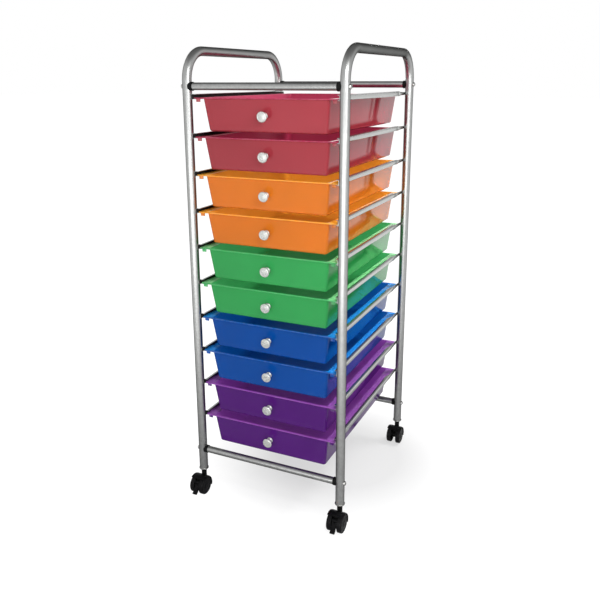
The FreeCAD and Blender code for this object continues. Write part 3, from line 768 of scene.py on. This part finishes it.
class CART_OT_rails(bpy.types.Operator):
    """Folds the ten drawer rails of each side from sheet"""

    bl_idname = "cart.rails"
    bl_label = "Drawer Rails"

    def execute(self, context):
        sizes = context.scene.cart_frame
        half = sizes.rail_height / 2
        mouth, web = RAIL_LOW.x, RAIL_HIGH.x
        front, lip = -LEG_Y - sizes.rail_tab, TRAY_LOW.y + sizes.rail_lip
        pattern = bmesh.new()
        section = ((mouth, -half), (web, -half), (web, half), (mouth, half))
        corners = polyline(pattern, [(x, front, z) for x, z in section])
        for corner, bend in zip(corners[1:3], (sizes.rail_bend, sizes.rail_crown)):
            round_off(pattern, [corner], bend, 6, "VERTICES")
        strip = pattern.edges[:]
        flat = (sizes.rail_gauge + MERGE) / (web - mouth)
        at_web = Matrix.Translation((-web, 0, 0))
        bmesh.ops.scale(pattern, verts=pattern.verts[:], vec=(flat, 1, 1), space=at_web)
        bevelled = sizes.rail_gauge
        taper = RAIL_HIGH.y - sizes.rail_taper
        neck_length = sizes.rail_taper - sizes.rail_runout - sizes.rail_shoulder
        stations = [
            (lip - front, 1.0, 1.0),
            (bevelled, 1 / flat, 1.0),
            (taper - lip - bevelled, 1.0, 1.0),
            (sizes.rail_runout, sizes.neck_depth / (web - mouth), 1.0),
            (sizes.rail_shoulder, 1.0, sizes.rail_neck / sizes.rail_height),
            (neck_length, 1.0, sizes.rail_tongue / sizes.rail_neck),
        ]
        for step, across, upright in stations:
            strip = run_on(pattern, strip, (0, step, 0))
            verts = list({vert for edge in strip for vert in edge.verts})
            bmesh.ops.scale(pattern, verts=verts, vec=(across, 1, upright), space=at_web)
        face_out(pattern, 0)
        outside = set(pattern.verts)
        give_wall(pattern, sizes.rail_gauge)
        # Painted shade: faces of the inner shell, inside each channel, take the second, near-black finish
        for face in pattern.faces:
            face.material_index = 0 if outside.intersection(face.verts) else 1
        heights = [RAIL_HIGH.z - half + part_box(name)[1].z - TRAY_HIGH.z for name in DRAWERS]
        for side, hand in SIDES.items():
            turned = Matrix.Diagonal((hand, 1, 1, 1))
            places = [Matrix.Translation((0, 0, height)) @ turned for height in heights]
            bm = copies(pattern.copy(), places)
            piece = stand_in("folded_rails_" + side, bm, "frame", "rails_" + side)
            # The second finish is the painted shade inside the channels
            piece.data.materials.append(bpy.data.materials[finish_name("rail_inside")])
        pattern.free()
        return {"FINISHED"}


class CART_OT_leg_sockets(bpy.types.Operator):
    """Turns the flared sockets at the ends of the legs and the caster stems in them"""

    bl_idname = "cart.leg_sockets"
    bl_label = "Leg Sockets and Stems"

    def execute(self, context):
        frame_sizes, sizes = context.scene.cart_frame, context.scene.cart_casters
        flange = SOCKET_HIGH.x - LEG_X
        bore = frame_sizes.tube_radius - frame_sizes.tube_wall
        low = SOCKET_LOW.z
        places = [at_leg(place) for place in PLACES]
        socket = spun([
            (sizes.stem_radius, low), (sizes.socket_tip, low, 0.0006),
            (flange, low + sizes.socket_cone, 0.0007), (flange, frame_sizes.leg_end, 0.0005),
            (bore, frame_sizes.leg_end), (bore, SOCKET_HIGH.z), (sizes.stem_radius, SOCKET_HIGH.z),
            (sizes.stem_radius, low),
        ], 48)
        stand_in("flared_leg_sockets", copies(socket, places), "frame", "leg_sockets")
        shoulder = STEM_HIGH.x - LEG_X
        shoulder_low = HOUSING_HIGH.z + CLEARANCE
        stem = spun([
            (0, STEM_LOW.z), (sizes.stem_radius, STEM_LOW.z, 0.0008), (sizes.stem_radius, shoulder_low),
            (shoulder, shoulder_low, 0.0003), (shoulder, low, 0.0003), (sizes.stem_radius, low),
            (sizes.stem_radius, STEM_HIGH.z, 0.0008), (0, STEM_HIGH.z),
        ], 32)
        stand_in("turned_caster_stems", copies(stem, places), "frame", "caster_stems")
        return {"FINISHED"}


# Drawer pieces, drawn with the top of the rim at z = 0


def tray_shell(sizes):
    """The moulded bowl with its rim, one wall thick."""
    height = TRAY_HIGH.z - TRAY_LOW.z
    slope = sizes.taper / height
    depth = height - sizes.wall
    half = TRAY_HIGH.x - sizes.runner - slope * sizes.wall
    front = TRAY_LOW.y + sizes.front_rim + slope * sizes.wall
    back = TRAY_HIGH.y - sizes.back_rim - slope * sizes.wall
    middle = Vector((0, (front + back) / 2, 0))
    bm = bmesh.new()
    place = Matrix.Translation(middle - Vector((0, 0, sizes.wall + depth / 2)))
    bmesh.ops.create_cube(bm, size=1.0, matrix=place @ Matrix.Diagonal((2 * half, back - front, depth, 1)))
    floor = [vert for vert in bm.verts if vert.co.z < -height / 2]
    draw_in = slope * depth
    shrink = (1 - draw_in / half, 1 - 2 * draw_in / (back - front), 1)
    bmesh.ops.scale(bm, verts=floor, vec=shrink, space=Matrix.Translation(-middle))
    lid = max(bm.faces, key=lambda face: face.calc_center_median().z)
    bmesh.ops.delete(bm, geom=[lid], context="FACES_ONLY")
    upright = [edge for edge in bm.edges if abs(edge.verts[0].co.z - edge.verts[1].co.z) > depth / 2]
    round_off(bm, upright, sizes.corner, 8)
    floor_edges = [edge for edge in bm.edges if max(vert.co.z for vert in edge.verts) < MERGE - height]
    round_off(bm, floor_edges, sizes.floor_edge, 5)

    mouth = [edge for edge in bm.edges if edge.is_boundary]
    rim = only(bmesh.ops.extrude_edge_only(bm, edges=mouth)["geom"], bmesh.types.BMVert)
    tighter = sizes.rim_corner / sizes.corner
    for hand in SIDES.values():
        for end, wall_y, rim_y in ((-1, front, TRAY_LOW.y), (1, back, TRAY_HIGH.y)):
            corner = [vert for vert in rim if vert.co.x * hand > 0 and (vert.co.y - middle.y) * end > 0]
            inner = Vector((hand * (half - sizes.corner), wall_y - end * sizes.corner, 0))
            outer = Vector((hand * (TRAY_HIGH.x - sizes.rim_corner), rim_y - end * sizes.rim_corner, 0))
            bmesh.ops.scale(bm, verts=corner, vec=(tighter, tighter, 1), space=Matrix.Translation(-inner))
            bmesh.ops.translate(bm, verts=corner, vec=outer - inner)
    face_out(bm)
    outside = set(bm.faces)
    give_wall(bm, sizes.wall)
    bm.normal_update()
    # Painted light: faces made by the wall's thickness, the inside and the rim's edges, take the lighter glowing
    # finish, and level runner tops the brighter runner finish
    for face in bm.faces:
        on_runner = face.normal.z > NEARLY_UP and abs(face.calc_center_median().x) > half
        face.material_index = 0 if face in outside else 2 if on_runner else 1
    soften(bm, sizes.edge, sharp=50)
    return bm


def guide_tab(sizes):
    """The right-hand tab under the rim that keeps the tray between its rails."""
    outer = RAIL_LOW.x - sizes.tab_clearance
    front = TRAY_LOW.y + sizes.rim_corner / 2
    low = (outer - sizes.tab_width, front, -sizes.wall - sizes.tab_drop)
    high = (outer, front + sizes.tab_thickness, -sizes.wall / 2)
    return block(low, high, SMALL_EDGE)


def drawer_rims():
    """Each drawer's body with the height of its rim."""
    return [(name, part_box(name)[1].z) for name in DRAWERS]


class CART_OT_trays(bpy.types.Operator):
    """Moulds the ten trays"""

    bl_idname = "cart.trays"
    bl_label = "Trays"

    def execute(self, context):
        sizes = context.scene.cart_trays
        pattern = tray_shell(sizes)
        add(pattern, copies(guide_tab(sizes), BOTH_HANDS))
        for name, rim in drawer_rims():
            bm = pattern.copy()
            bm.transform(Matrix.Translation((0, 0, rim)))
            piece = stand_in(name + "_tray", bm, name, name)
            # The second and third finishes are painted light: the glowing inside and the brightened runner tops
            for part in ("_inside", "_runner"):
                piece.data.materials.append(bpy.data.materials[finish_name(SLOTS[name] + part)])
        pattern.free()
        return {"FINISHED"}


def front_wall_place(sizes, rim, inset):
    """Turns Z square out of the sloping front wall at the knob, at a depth inside the wall."""
    slope = math.atan2(sizes.taper, TRAY_HIGH.z - TRAY_LOW.z)
    outward = Vector((0, -math.cos(slope), -math.sin(slope)))
    front = TRAY_LOW.y + sizes.front_rim
    seat = Vector((0, front + sizes.knob_drop * math.tan(slope), rim - sizes.knob_drop))
    turn = Vector((0, 0, 1)).rotation_difference(outward).to_matrix().to_4x4()
    return Matrix.Translation(seat - outward * inset) @ turn


class CART_OT_knobs(bpy.types.Operator):
    """Turns the knobs and the screws that hold them from inside the trays"""

    bl_idname = "cart.knobs"
    bl_label = "Knobs and Knob Screws"

    def execute(self, context):
        sizes = context.scene.cart_trays
        reach, radius = sizes.knob_reach, sizes.knob_radius
        knob = spun([
            (0, 0), (sizes.knob_base, 0), (sizes.knob_base, 0.06 * reach, 0.0004),
            (sizes.knob_neck, 0.2 * reach, 0.0012), (sizes.knob_neck, 0.46 * reach, 0.0012),
            (radius, 0.74 * reach, 0.0010), (radius, 0.90 * reach, 0.0011),
            (0.78 * radius, 0.985 * reach, 0.0006), (0.70 * radius, 0.955 * reach, 0.0006),
            (0.36 * radius, reach, 0.0012), (0, reach),
        ], 48)
        head = sizes.knob_screw
        screw = spun([
            (0, 0), (head, 0), (head, 0.4 * head, 0.0005), (0.6 * head, 0.62 * head, 0.0006),
            (0.36 * head, 0.62 * head), (0.36 * head, 0.25 * head), (0, 0.25 * head),
        ], 24)
        screw.transform(Matrix.Rotation(math.pi, 4, "X"))
        for name, rim in drawer_rims():
            bm = knob.copy()
            bm.transform(front_wall_place(sizes, rim, 0.0))
            stand_in(name + "_knob", bm, name, name.replace("drawer", "knob"))
            bm = screw.copy()
            bm.transform(front_wall_place(sizes, rim, sizes.wall))
            make_piece(name + "_screw", bm, name, "bright_steel")
        knob.free()
        screw.free()
        return {"FINISHED"}


# Caster pieces, drawn on the axis of a leg with the wheels trailing to the front


def about_axle(radius, turn):
    """A point at a radius from the axle; no turn is to the back, a quarter turn is up."""
    return AXLE + Vector((0, radius * math.cos(turn), radius * math.sin(turn)))


def fan(radius, first, last, half_width):
    """A slice of a disc about the axle, extruded to a width."""
    bm = bmesh.new()
    spoke = [bm.verts.new(about_axle(part, first) - Vector((half_width, 0, 0))) for part in (0.0, radius)]
    edge = bm.edges.new(spoke)
    bmesh.ops.spin(
        bm, geom=spoke + [edge], cent=AXLE, axis=(1, 0, 0), angle=last - first, steps=18, use_duplicate=False)
    bmesh.ops.remove_doubles(bm, verts=bm.verts, dist=MERGE)
    grown = bmesh.ops.extrude_face_region(bm, geom=bm.faces[:])["geom"]
    bmesh.ops.translate(bm, verts=only(grown, bmesh.types.BMVert), vec=(2 * half_width, 0, 0))
    face_out(bm)
    return bm


def hood(sizes):
    """The curved cover over the wheels, with rounded shoulders."""
    half = HOUSING_HIGH.x - LEG_X
    sweep = sizes.hood_front - sizes.hood_back
    bm = bmesh.new()
    drop = 0.0013
    section = [(-half, drop), (-half + 2 * drop, 0), (half - 2 * drop, 0), (half, drop)]
    points = polyline(bm, [
        about_axle(sizes.hood_radius - sunk, sizes.hood_back) + Vector((x, 0, 0)) for x, sunk in section
    ])
    round_off(bm, points[1:3], 1.6 * drop, 4, "VERTICES")
    bmesh.ops.spin(
        bm, geom=bm.verts[:] + bm.edges[:], cent=AXLE, axis=(1, 0, 0), angle=sweep, steps=28,
        use_duplicate=False)
    face_out(bm, 2)
    give_wall(bm, sizes.hood_wall - drop / 2)
    soften(bm, SMALL_EDGE, sharp=50)
    return bm


def housing(sizes, braked):
    """Hood, web, axle boss and stem boss, with a lug for the brake where there is one."""
    bm = hood(sizes)
    web = fan(sizes.hood_radius - sizes.hood_wall / 2, sizes.hood_back, sizes.hood_front, sizes.web_half)
    soften(web, SMALL_EDGE, sharp=50)
    axle_boss = disc(sizes.axle_boss, -sizes.web_half, sizes.web_half, SMALL_EDGE)
    axle_boss.transform(Matrix.Translation(AXLE))
    bore, boss = sizes.stem_radius + SLIP, sizes.boss_radius
    low, top = AXLE.z + sizes.axle_boss, HOUSING_HIGH.z
    stem_boss = spun([(bore, low), (boss, low), (boss, top, 0.0006), (bore, top, 0.0003), (bore, low)], 32)
    add(bm, web, axle_boss, stem_boss)
    if braked:
        lug = disc(sizes.brake_hub - CLEARANCE, -sizes.brake_lug, sizes.brake_lug, FINE_EDGE)
        lug.transform(Matrix.Translation(PIVOT))
        arm_from = PIVOT - AXLE
        turn = math.atan2(arm_from.z, arm_from.y)
        under_hood = sizes.hood_front - math.radians(15)
        arm = fan(arm_from.length, under_hood, turn, sizes.brake_lug)
        add(bm, lug, arm)
    return bm


class CART_OT_caster_housings(bpy.types.Operator):
    """Moulds the four caster housings"""

    bl_idname = "cart.caster_housings"
    bl_label = "Caster Housings"

    def execute(self, context):
        for place in PLACES:
            braked = "brake_lever_" + place in frame["nodes"]
            bm = copies(housing(context.scene.cart_casters, braked), [at_leg(place)])
            stand_in("caster_hood_" + place, bm, "caster_" + place, "caster_housing_" + place)
        return {"FINISHED"}


def wheel(sizes):
    """A cup-shaped wheel on the right of the web, its closed face ringed and slightly crowned."""
    radius, hub = sizes.wheel_radius, sizes.wheel_hub
    inner, outer = WHEEL_LOW.x - LEG_X, WHEEL_HIGH.x - LEG_X
    crown, tread, groove = 0.0009, 0.0014, 0.0006
    face_edge = outer - crown
    disc_back = face_edge - sizes.wheel_face
    bore, bore_end = sizes.axle_radius + SLIP, disc_back + 0.0006
    bm = spun([
        (0, outer - 0.4 * groove), (0.5 * hub, outer - 0.4 * groove, 0.0005),
        (0.7 * hub, outer, 0.0004), (hub, outer, 0.0004), (hub + groove, outer - groove, 0.0002),
        (0.76 * radius, face_edge + 0.3 * crown - groove, 0.0003),
        (0.79 * radius, face_edge + 0.3 * crown, 0.0003), (radius - tread, face_edge, 0.0008),
        (radius, face_edge - tread, 0.0010), (radius, inner, 0.0008),
        (radius - sizes.wheel_rim, inner, 0.0006), (radius - sizes.wheel_rim, disc_back, 0.0006),
        (hub, disc_back, 0.0006), (hub, inner, 0.0004), (bore, inner), (bore, bore_end), (0, bore_end),
    ], 56)
    bm.transform(Matrix.Translation(AXLE) @ TURN_TO_X)
    return bm


class CART_OT_caster_wheels(bpy.types.Operator):
    """Moulds the eight wheels, two to a caster"""

    bl_idname = "cart.caster_wheels"
    bl_label = "Caster Wheels"

    def execute(self, context):
        pattern = wheel(context.scene.cart_casters)
        for place in PLACES:
            for hand, flip in zip(("outer", "inner"), BOTH_HANDS):
                node = "caster_wheel_%s_%s" % (place, hand)
                bm = copies(pattern.copy(), [at_leg(place) @ flip])
                stand_in("moulded_" + node, bm, node, node)
        pattern.free()
        return {"FINISHED"}


def brake_lever(sizes):
    """A forked lever: two cheeks on the pin and a tongue that ends in a bent toe."""
    half, thick = sizes.web_half, sizes.brake_tongue / 2
    fork = sizes.brake_lug + CLEARANCE
    toe_run, root_gap, overlap = Vector((0, 0.005, 0.003)), 0.0008, 0.0006
    tip = Vector((0, LEVER_LOW.y + LEG_Y + thick / 2, LEVER_LOW.z + thick))
    toe = tip + toe_run
    arm_way = (toe - PIVOT).normalized()
    root = PIVOT + arm_way * (sizes.brake_hub + root_gap)
    side_way = Vector((-half, 0, 0))
    bm = bmesh.new()
    spine = [root, toe, tip]
    ways = [arm_way, (arm_way + (tip - toe).normalized()).normalized(), (tip - toe).normalized()]
    across = [Vector((0, -way.z, way.y)) * thick for way in ways]
    lower = [bm.verts.new(point - out + side_way) for point, out in zip(spine, across)]
    upper = [bm.verts.new(point + out + side_way) for point, out in zip(spine, across)]
    face = bm.faces.new(lower + upper[::-1])
    grown = bmesh.ops.extrude_face_region(bm, geom=[face])["geom"]
    bmesh.ops.translate(bm, verts=only(grown, bmesh.types.BMVert), vec=-2 * side_way)
    face_out(bm)
    soften(bm, 0.0006, segments=3, sharp=60)
    bore, hub = sizes.brake_pin + SLIP, sizes.brake_hub
    cheek = spun([(bore, fork), (hub, fork, 0.0003), (hub, half, 0.0004), (bore, half), (bore, fork)], 32)
    cheek.transform(Matrix.Translation(PIVOT) @ TURN_TO_X)
    turn = math.atan2(arm_way.z, arm_way.y)
    neck_end = (root - PIVOT).length + overlap
    neck = block((fork, bore + overlap, -thick), (half, neck_end, thick), FINE_EDGE)
    neck.transform(Matrix.Translation(PIVOT) @ Matrix.Rotation(turn, 4, "X"))
    add(cheek, neck)
    add(bm, copies(cheek, BOTH_HANDS))
    return bm


class CART_OT_brake_levers(bpy.types.Operator):
    """Moulds the brake levers of the front casters"""

    bl_idname = "cart.brake_levers"
    bl_label = "Brake Levers"

    def execute(self, context):
        for place in PLACES:
            node = "brake_lever_" + place
            if node in frame["nodes"]:
                bm = copies(brake_lever(context.scene.cart_casters), [at_leg(place)])
                stand_in("moulded_" + node, bm, node, node)
        return {"FINISHED"}


# Stage, in metres

FLOOR_HALF = 30.0
FLOOR_DRIFT = (0.8, 0.01)  # scale and amount of its changes of tone
SEEN_TONE = 0.5  # share of the floor's tone that the camera sees under its lift
# Painted shadow: the floor's lift towards white grows outwards from a spot under the cart
PAINTED_SHADOW_SPOT = (0.06, 0.06, 0.0)  # where the floor is lifted least
PAINTED_SHADOW_REACH = (0.14, 0.36)  # distances from that spot between which the lift grows to white
# Painted shade: shiny pieces show the floor darker near the cart, as if in its shadow
MIRROR_REACH = (0.5, 1.6)  # distances from the cart between which shiny pieces show the floor as white
NEAR_MIRROR = 0.1  # how bright they show it nearer than that
CEILING_RAMP = (0.45, 0.85)  # how far up a look goes where the walls end and the ceiling is full
CEILING_LEAN = 0.35  # how much lower the ceiling that shiny pieces show starts behind the cart
CAMERA_PLACE = (0.5985, -1.3178, 0.8740)
CAMERA_TURNS = (24.997, 15.119, 0.201)  # yaw, pitch and roll in degrees
CAMERA_LENS, CAMERA_SENSOR = 41.262, 36.0  # millimetres
CAMERA_SHIFT = -0.06
LAMPS = {
    "front_panel": {"place": (0.546, -1.554, 0.4), "aim": (0.296, 0.046, 0.5), "size": (2.0, 0.7)},
    "front_panel_end": {
        "place": (-0.738, -1.754, 0.4), "aim": (-0.988, -0.154, 0.5), "size": (0.6, 0.7), "mirrored": False,
    },
    "key_lamp": {"place": (0.55, -0.7, 1.15), "aim": (0.1, -0.19, 0.8), "size": (0.3, 0.3)},
    "side_lamp": {"place": (1.25, -0.75, 1.1), "aim": (0.1, -0.1, 0.6), "size": (0.3, 0.9)},
    "back_lamp": {
        "place": (0.85, 0.75, 1.6), "aim": (0.1, 0.1, 0.5), "size": (0.5, 0.5), "beam": 70.0,
        "mirrored": False,
    },
    "top_lamp": {"place": (0.0, 0.1, 2.6), "aim": (0.0, 0.0, 0.5), "size": (2.0, 2.0), "mirrored": False},
}


def soft_lamp(name, watts, place, aim, size, beam=180.0, mirrored=True):
    """A soft lamp that points from one place to another; shiny pieces may show it or not."""
    lamp = bpy.data.lights.new(name, "AREA")
    lamp.shape = "RECTANGLE"
    lamp.size, lamp.size_y = size
    lamp.energy = watts
    lamp.spread = math.radians(beam)
    holder = new_object(name, lamp)
    holder.location = place
    holder.visible_camera = False
    holder.visible_glossy = mirrored
    holder.rotation_mode = "QUATERNION"
    holder.rotation_quaternion = (Vector(aim) - Vector(place)).to_track_quat("-Z", "Y")


def away_from(tree, spot):
    """How far a point of the floor is from a spot."""
    place = tree.nodes.new("ShaderNodeTexCoord")
    away = tree.nodes.new("ShaderNodeVectorMath")
    away.operation = "DISTANCE"
    away.inputs[1].default_value = spot
    tree.links.new(place.outputs["Object"], away.inputs[0])
    return away.outputs["Value"]


def build_floor(tone, lift):
    """A wide pale floor that reads white to the camera, keeps a soft shadow and has a painted shadow under the
    cart.
    """
    bm = bmesh.new()
    bmesh.ops.create_grid(bm, x_segments=1, y_segments=1, size=FLOOR_HALF)
    mesh = bpy.data.meshes.new("studio_floor")
    bm.to_mesh(mesh)
    bm.free()
    floor = new_object("studio_floor", mesh)
    material, tree, shader = new_material("Studio Floor")
    shader.inputs["Roughness"].default_value = 0.9
    shader.inputs["Specular IOR Level"].default_value = 0.0
    drift = place_group(tree, "Tone Drift", list(tone), *FLOOR_DRIFT)
    rays = tree.nodes.new("ShaderNodeLightPath").outputs
    darker = add_range(tree, rays["Is Camera Ray"], 0.0, 1.0, 1.0, SEEN_TONE)
    tree.links.new(add_scale(tree, drift["Color"], darker), shader.inputs["Base Color"])
    glow = tree.nodes.new("ShaderNodeEmission")
    both = tree.nodes.new("ShaderNodeAddShader")
    tree.links.new(shader.outputs["BSDF"], both.inputs[0])
    tree.links.new(glow.outputs["Emission"], both.inputs[1])
    # Painted shadow: the lift towards white is least near a spot under the cart
    lifted = add_range(tree, away_from(tree, PAINTED_SHADOW_SPOT), *PAINTED_SHADOW_REACH, lift, 1.0)
    seen = seen_only(tree, lifted, "Is Transmission Ray")
    # Painted shade: shiny pieces see the floor darker near the cart and white further out
    mirrored = add_range(tree, away_from(tree, (0.0, 0.0, 0.0)), *MIRROR_REACH, NEAR_MIRROR, 1.0)
    shown = add_math(tree, "MULTIPLY", rays["Is Glossy Ray"], mirrored)
    tree.links.new(add_math(tree, "ADD", seen, shown), glow.inputs["Strength"])
    tree.links.new(both.outputs["Shader"], tree.nodes["Material Output"].inputs["Surface"])
    mesh.materials.append(material)


def seen_only(tree, strength, *rays):
    """A strength for what the camera sees directly or by the given kinds of ray, and nothing else."""
    path = tree.nodes.new("ShaderNodeLightPath").outputs
    seen = path["Is Camera Ray"]
    for label in rays:
        seen = add_math(tree, "MAXIMUM", seen, path[label])
    return add_math(tree, "MULTIPLY", seen, strength)


def build_world(room_light, ceiling_light):
    """A white room with a darker ceiling, which lights the cart at a lower level than it shows."""
    world = bpy.data.worlds.new("White Room")
    world.use_nodes = True
    tree = world.node_tree
    shown = seen_only(tree, 1.0 - room_light, "Is Glossy Ray", "Is Transmission Ray")
    walls = add_math(tree, "ADD", shown, room_light)
    way = tree.nodes.new("ShaderNodeSeparateXYZ")
    tree.links.new(tree.nodes.new("ShaderNodeTexCoord").outputs["Generated"], way.inputs["Vector"])
    mirrored = tree.nodes.new("ShaderNodeLightPath").outputs["Is Glossy Ray"]
    lean = add_range(tree, way.outputs["Y"], -1.0, 1.0, -CEILING_LEAN, CEILING_LEAN)
    height = add_math(tree, "ADD", add_math(tree, "MULTIPLY", mirrored, lean), way.outputs["Z"])
    ceiling = add_range(tree, height, *CEILING_RAMP, 1.0, ceiling_light)
    background = tree.nodes["Background"]
    background.inputs["Color"].default_value = (1.0, 1.0, 1.0, 1.0)
    tree.links.new(add_math(tree, "MULTIPLY", walls, ceiling), background.inputs["Strength"])
    bpy.context.scene.world = world


def build_camera():
    """A camera to the right of the front, about as high as the top crossbars."""
    yaw, pitch, roll = (math.radians(turn) for turn in CAMERA_TURNS)
    forward = Vector((-math.sin(yaw) * math.cos(pitch), math.cos(yaw) * math.cos(pitch), -math.sin(pitch)))
    lens = bpy.data.cameras.new("cart_camera")
    lens.sensor_width = CAMERA_SENSOR
    lens.lens = CAMERA_LENS
    lens.shift_y = CAMERA_SHIFT
    camera = new_object("cart_camera", lens)
    camera.location = CAMERA_PLACE
    camera.rotation_mode = "QUATERNION"
    camera.rotation_quaternion = forward.to_track_quat("-Z", "Y") @ Quaternion((0, 0, 1), -roll)
    bpy.context.scene.camera = camera


class CART_OT_stage(bpy.types.Operator):
    """Sets the floor, the lamps, the white room and the camera"""

    bl_idname = "cart.stage"
    bl_label = "Stage"

    def execute(self, context):
        stage = context.scene.cart_stage
        build_floor(stage.floor_tone, stage.floor_glow)
        build_world(stage.room_light, stage.ceiling_light)
        panel_width, end_width = (LAMPS[name]["size"][0] for name in ("front_panel", "front_panel_end"))
        watts = {
            "front_panel": stage.panel_power * panel_width / (panel_width + end_width),
            "front_panel_end": stage.panel_power * end_width / (panel_width + end_width),
            "key_lamp": stage.key_power, "side_lamp": stage.side_power, "back_lamp": stage.back_power,
            "top_lamp": stage.top_power,
        }
        for name, lamp in LAMPS.items():
            soft_lamp(name, watts[name], **lamp)
        build_camera()
        context.scene.view_settings.view_transform = "Standard"
        return {"FINISHED"}


OPERATORS = (
    CART_OT_finishes, CART_OT_side_frames, CART_OT_crossbars, CART_OT_saddle_caps, CART_OT_frame_screws,
    CART_OT_rails, CART_OT_leg_sockets, CART_OT_trays, CART_OT_knobs, CART_OT_caster_housings,
    CART_OT_caster_wheels, CART_OT_brake_levers, CART_OT_stage,
)


class CART_PT_panel(bpy.types.Panel):
    """Settings and build steps of the cart"""

    bl_idname = "CART_PT_panel"
    bl_label = "Rolling Drawer Cart"
    bl_space_type = "VIEW_3D"
    bl_region_type = "UI"
    bl_category = "Cart"

    def draw(self, context):
        for name, group in SETTINGS.items():
            box = self.layout.box()
            box.label(text=group.__doc__)
            for setting in group.__annotations__:
                box.prop(getattr(context.scene, name), setting)
        column = self.layout.column()
        for operator in OPERATORS:
            column.operator(operator.bl_idname)


CLASSES = tuple(SETTINGS.values()) + OPERATORS + (CART_PT_panel,)


def register():
    """Makes the settings, build steps and panel known to Blender."""
    for item in CLASSES:
        bpy.utils.register_class(item)
    for name, group in SETTINGS.items():
        setattr(bpy.types.Scene, name, bpy.props.PointerProperty(type=group))


def unregister():
    """Takes the settings, build steps and panel out of Blender again."""
    for name in SETTINGS:
        delattr(bpy.types.Scene, name)
    for item in reversed(CLASSES):
        bpy.utils.unregister_class(item)


def main():
    """Builds the cart step by step."""
    register()
    bpy.ops.cart.finishes()
    bpy.ops.cart.side_frames()
    bpy.ops.cart.crossbars()
    bpy.ops.cart.saddle_caps()
    bpy.ops.cart.frame_screws()
    bpy.ops.cart.rails()
    bpy.ops.cart.leg_sockets()
    bpy.ops.cart.trays()
    bpy.ops.cart.knobs()
    bpy.ops.cart.caster_housings()
    bpy.ops.cart.caster_wheels()
    bpy.ops.cart.brake_levers()
    bpy.ops.cart.stage()


if __name__ == "__main__":
    main()
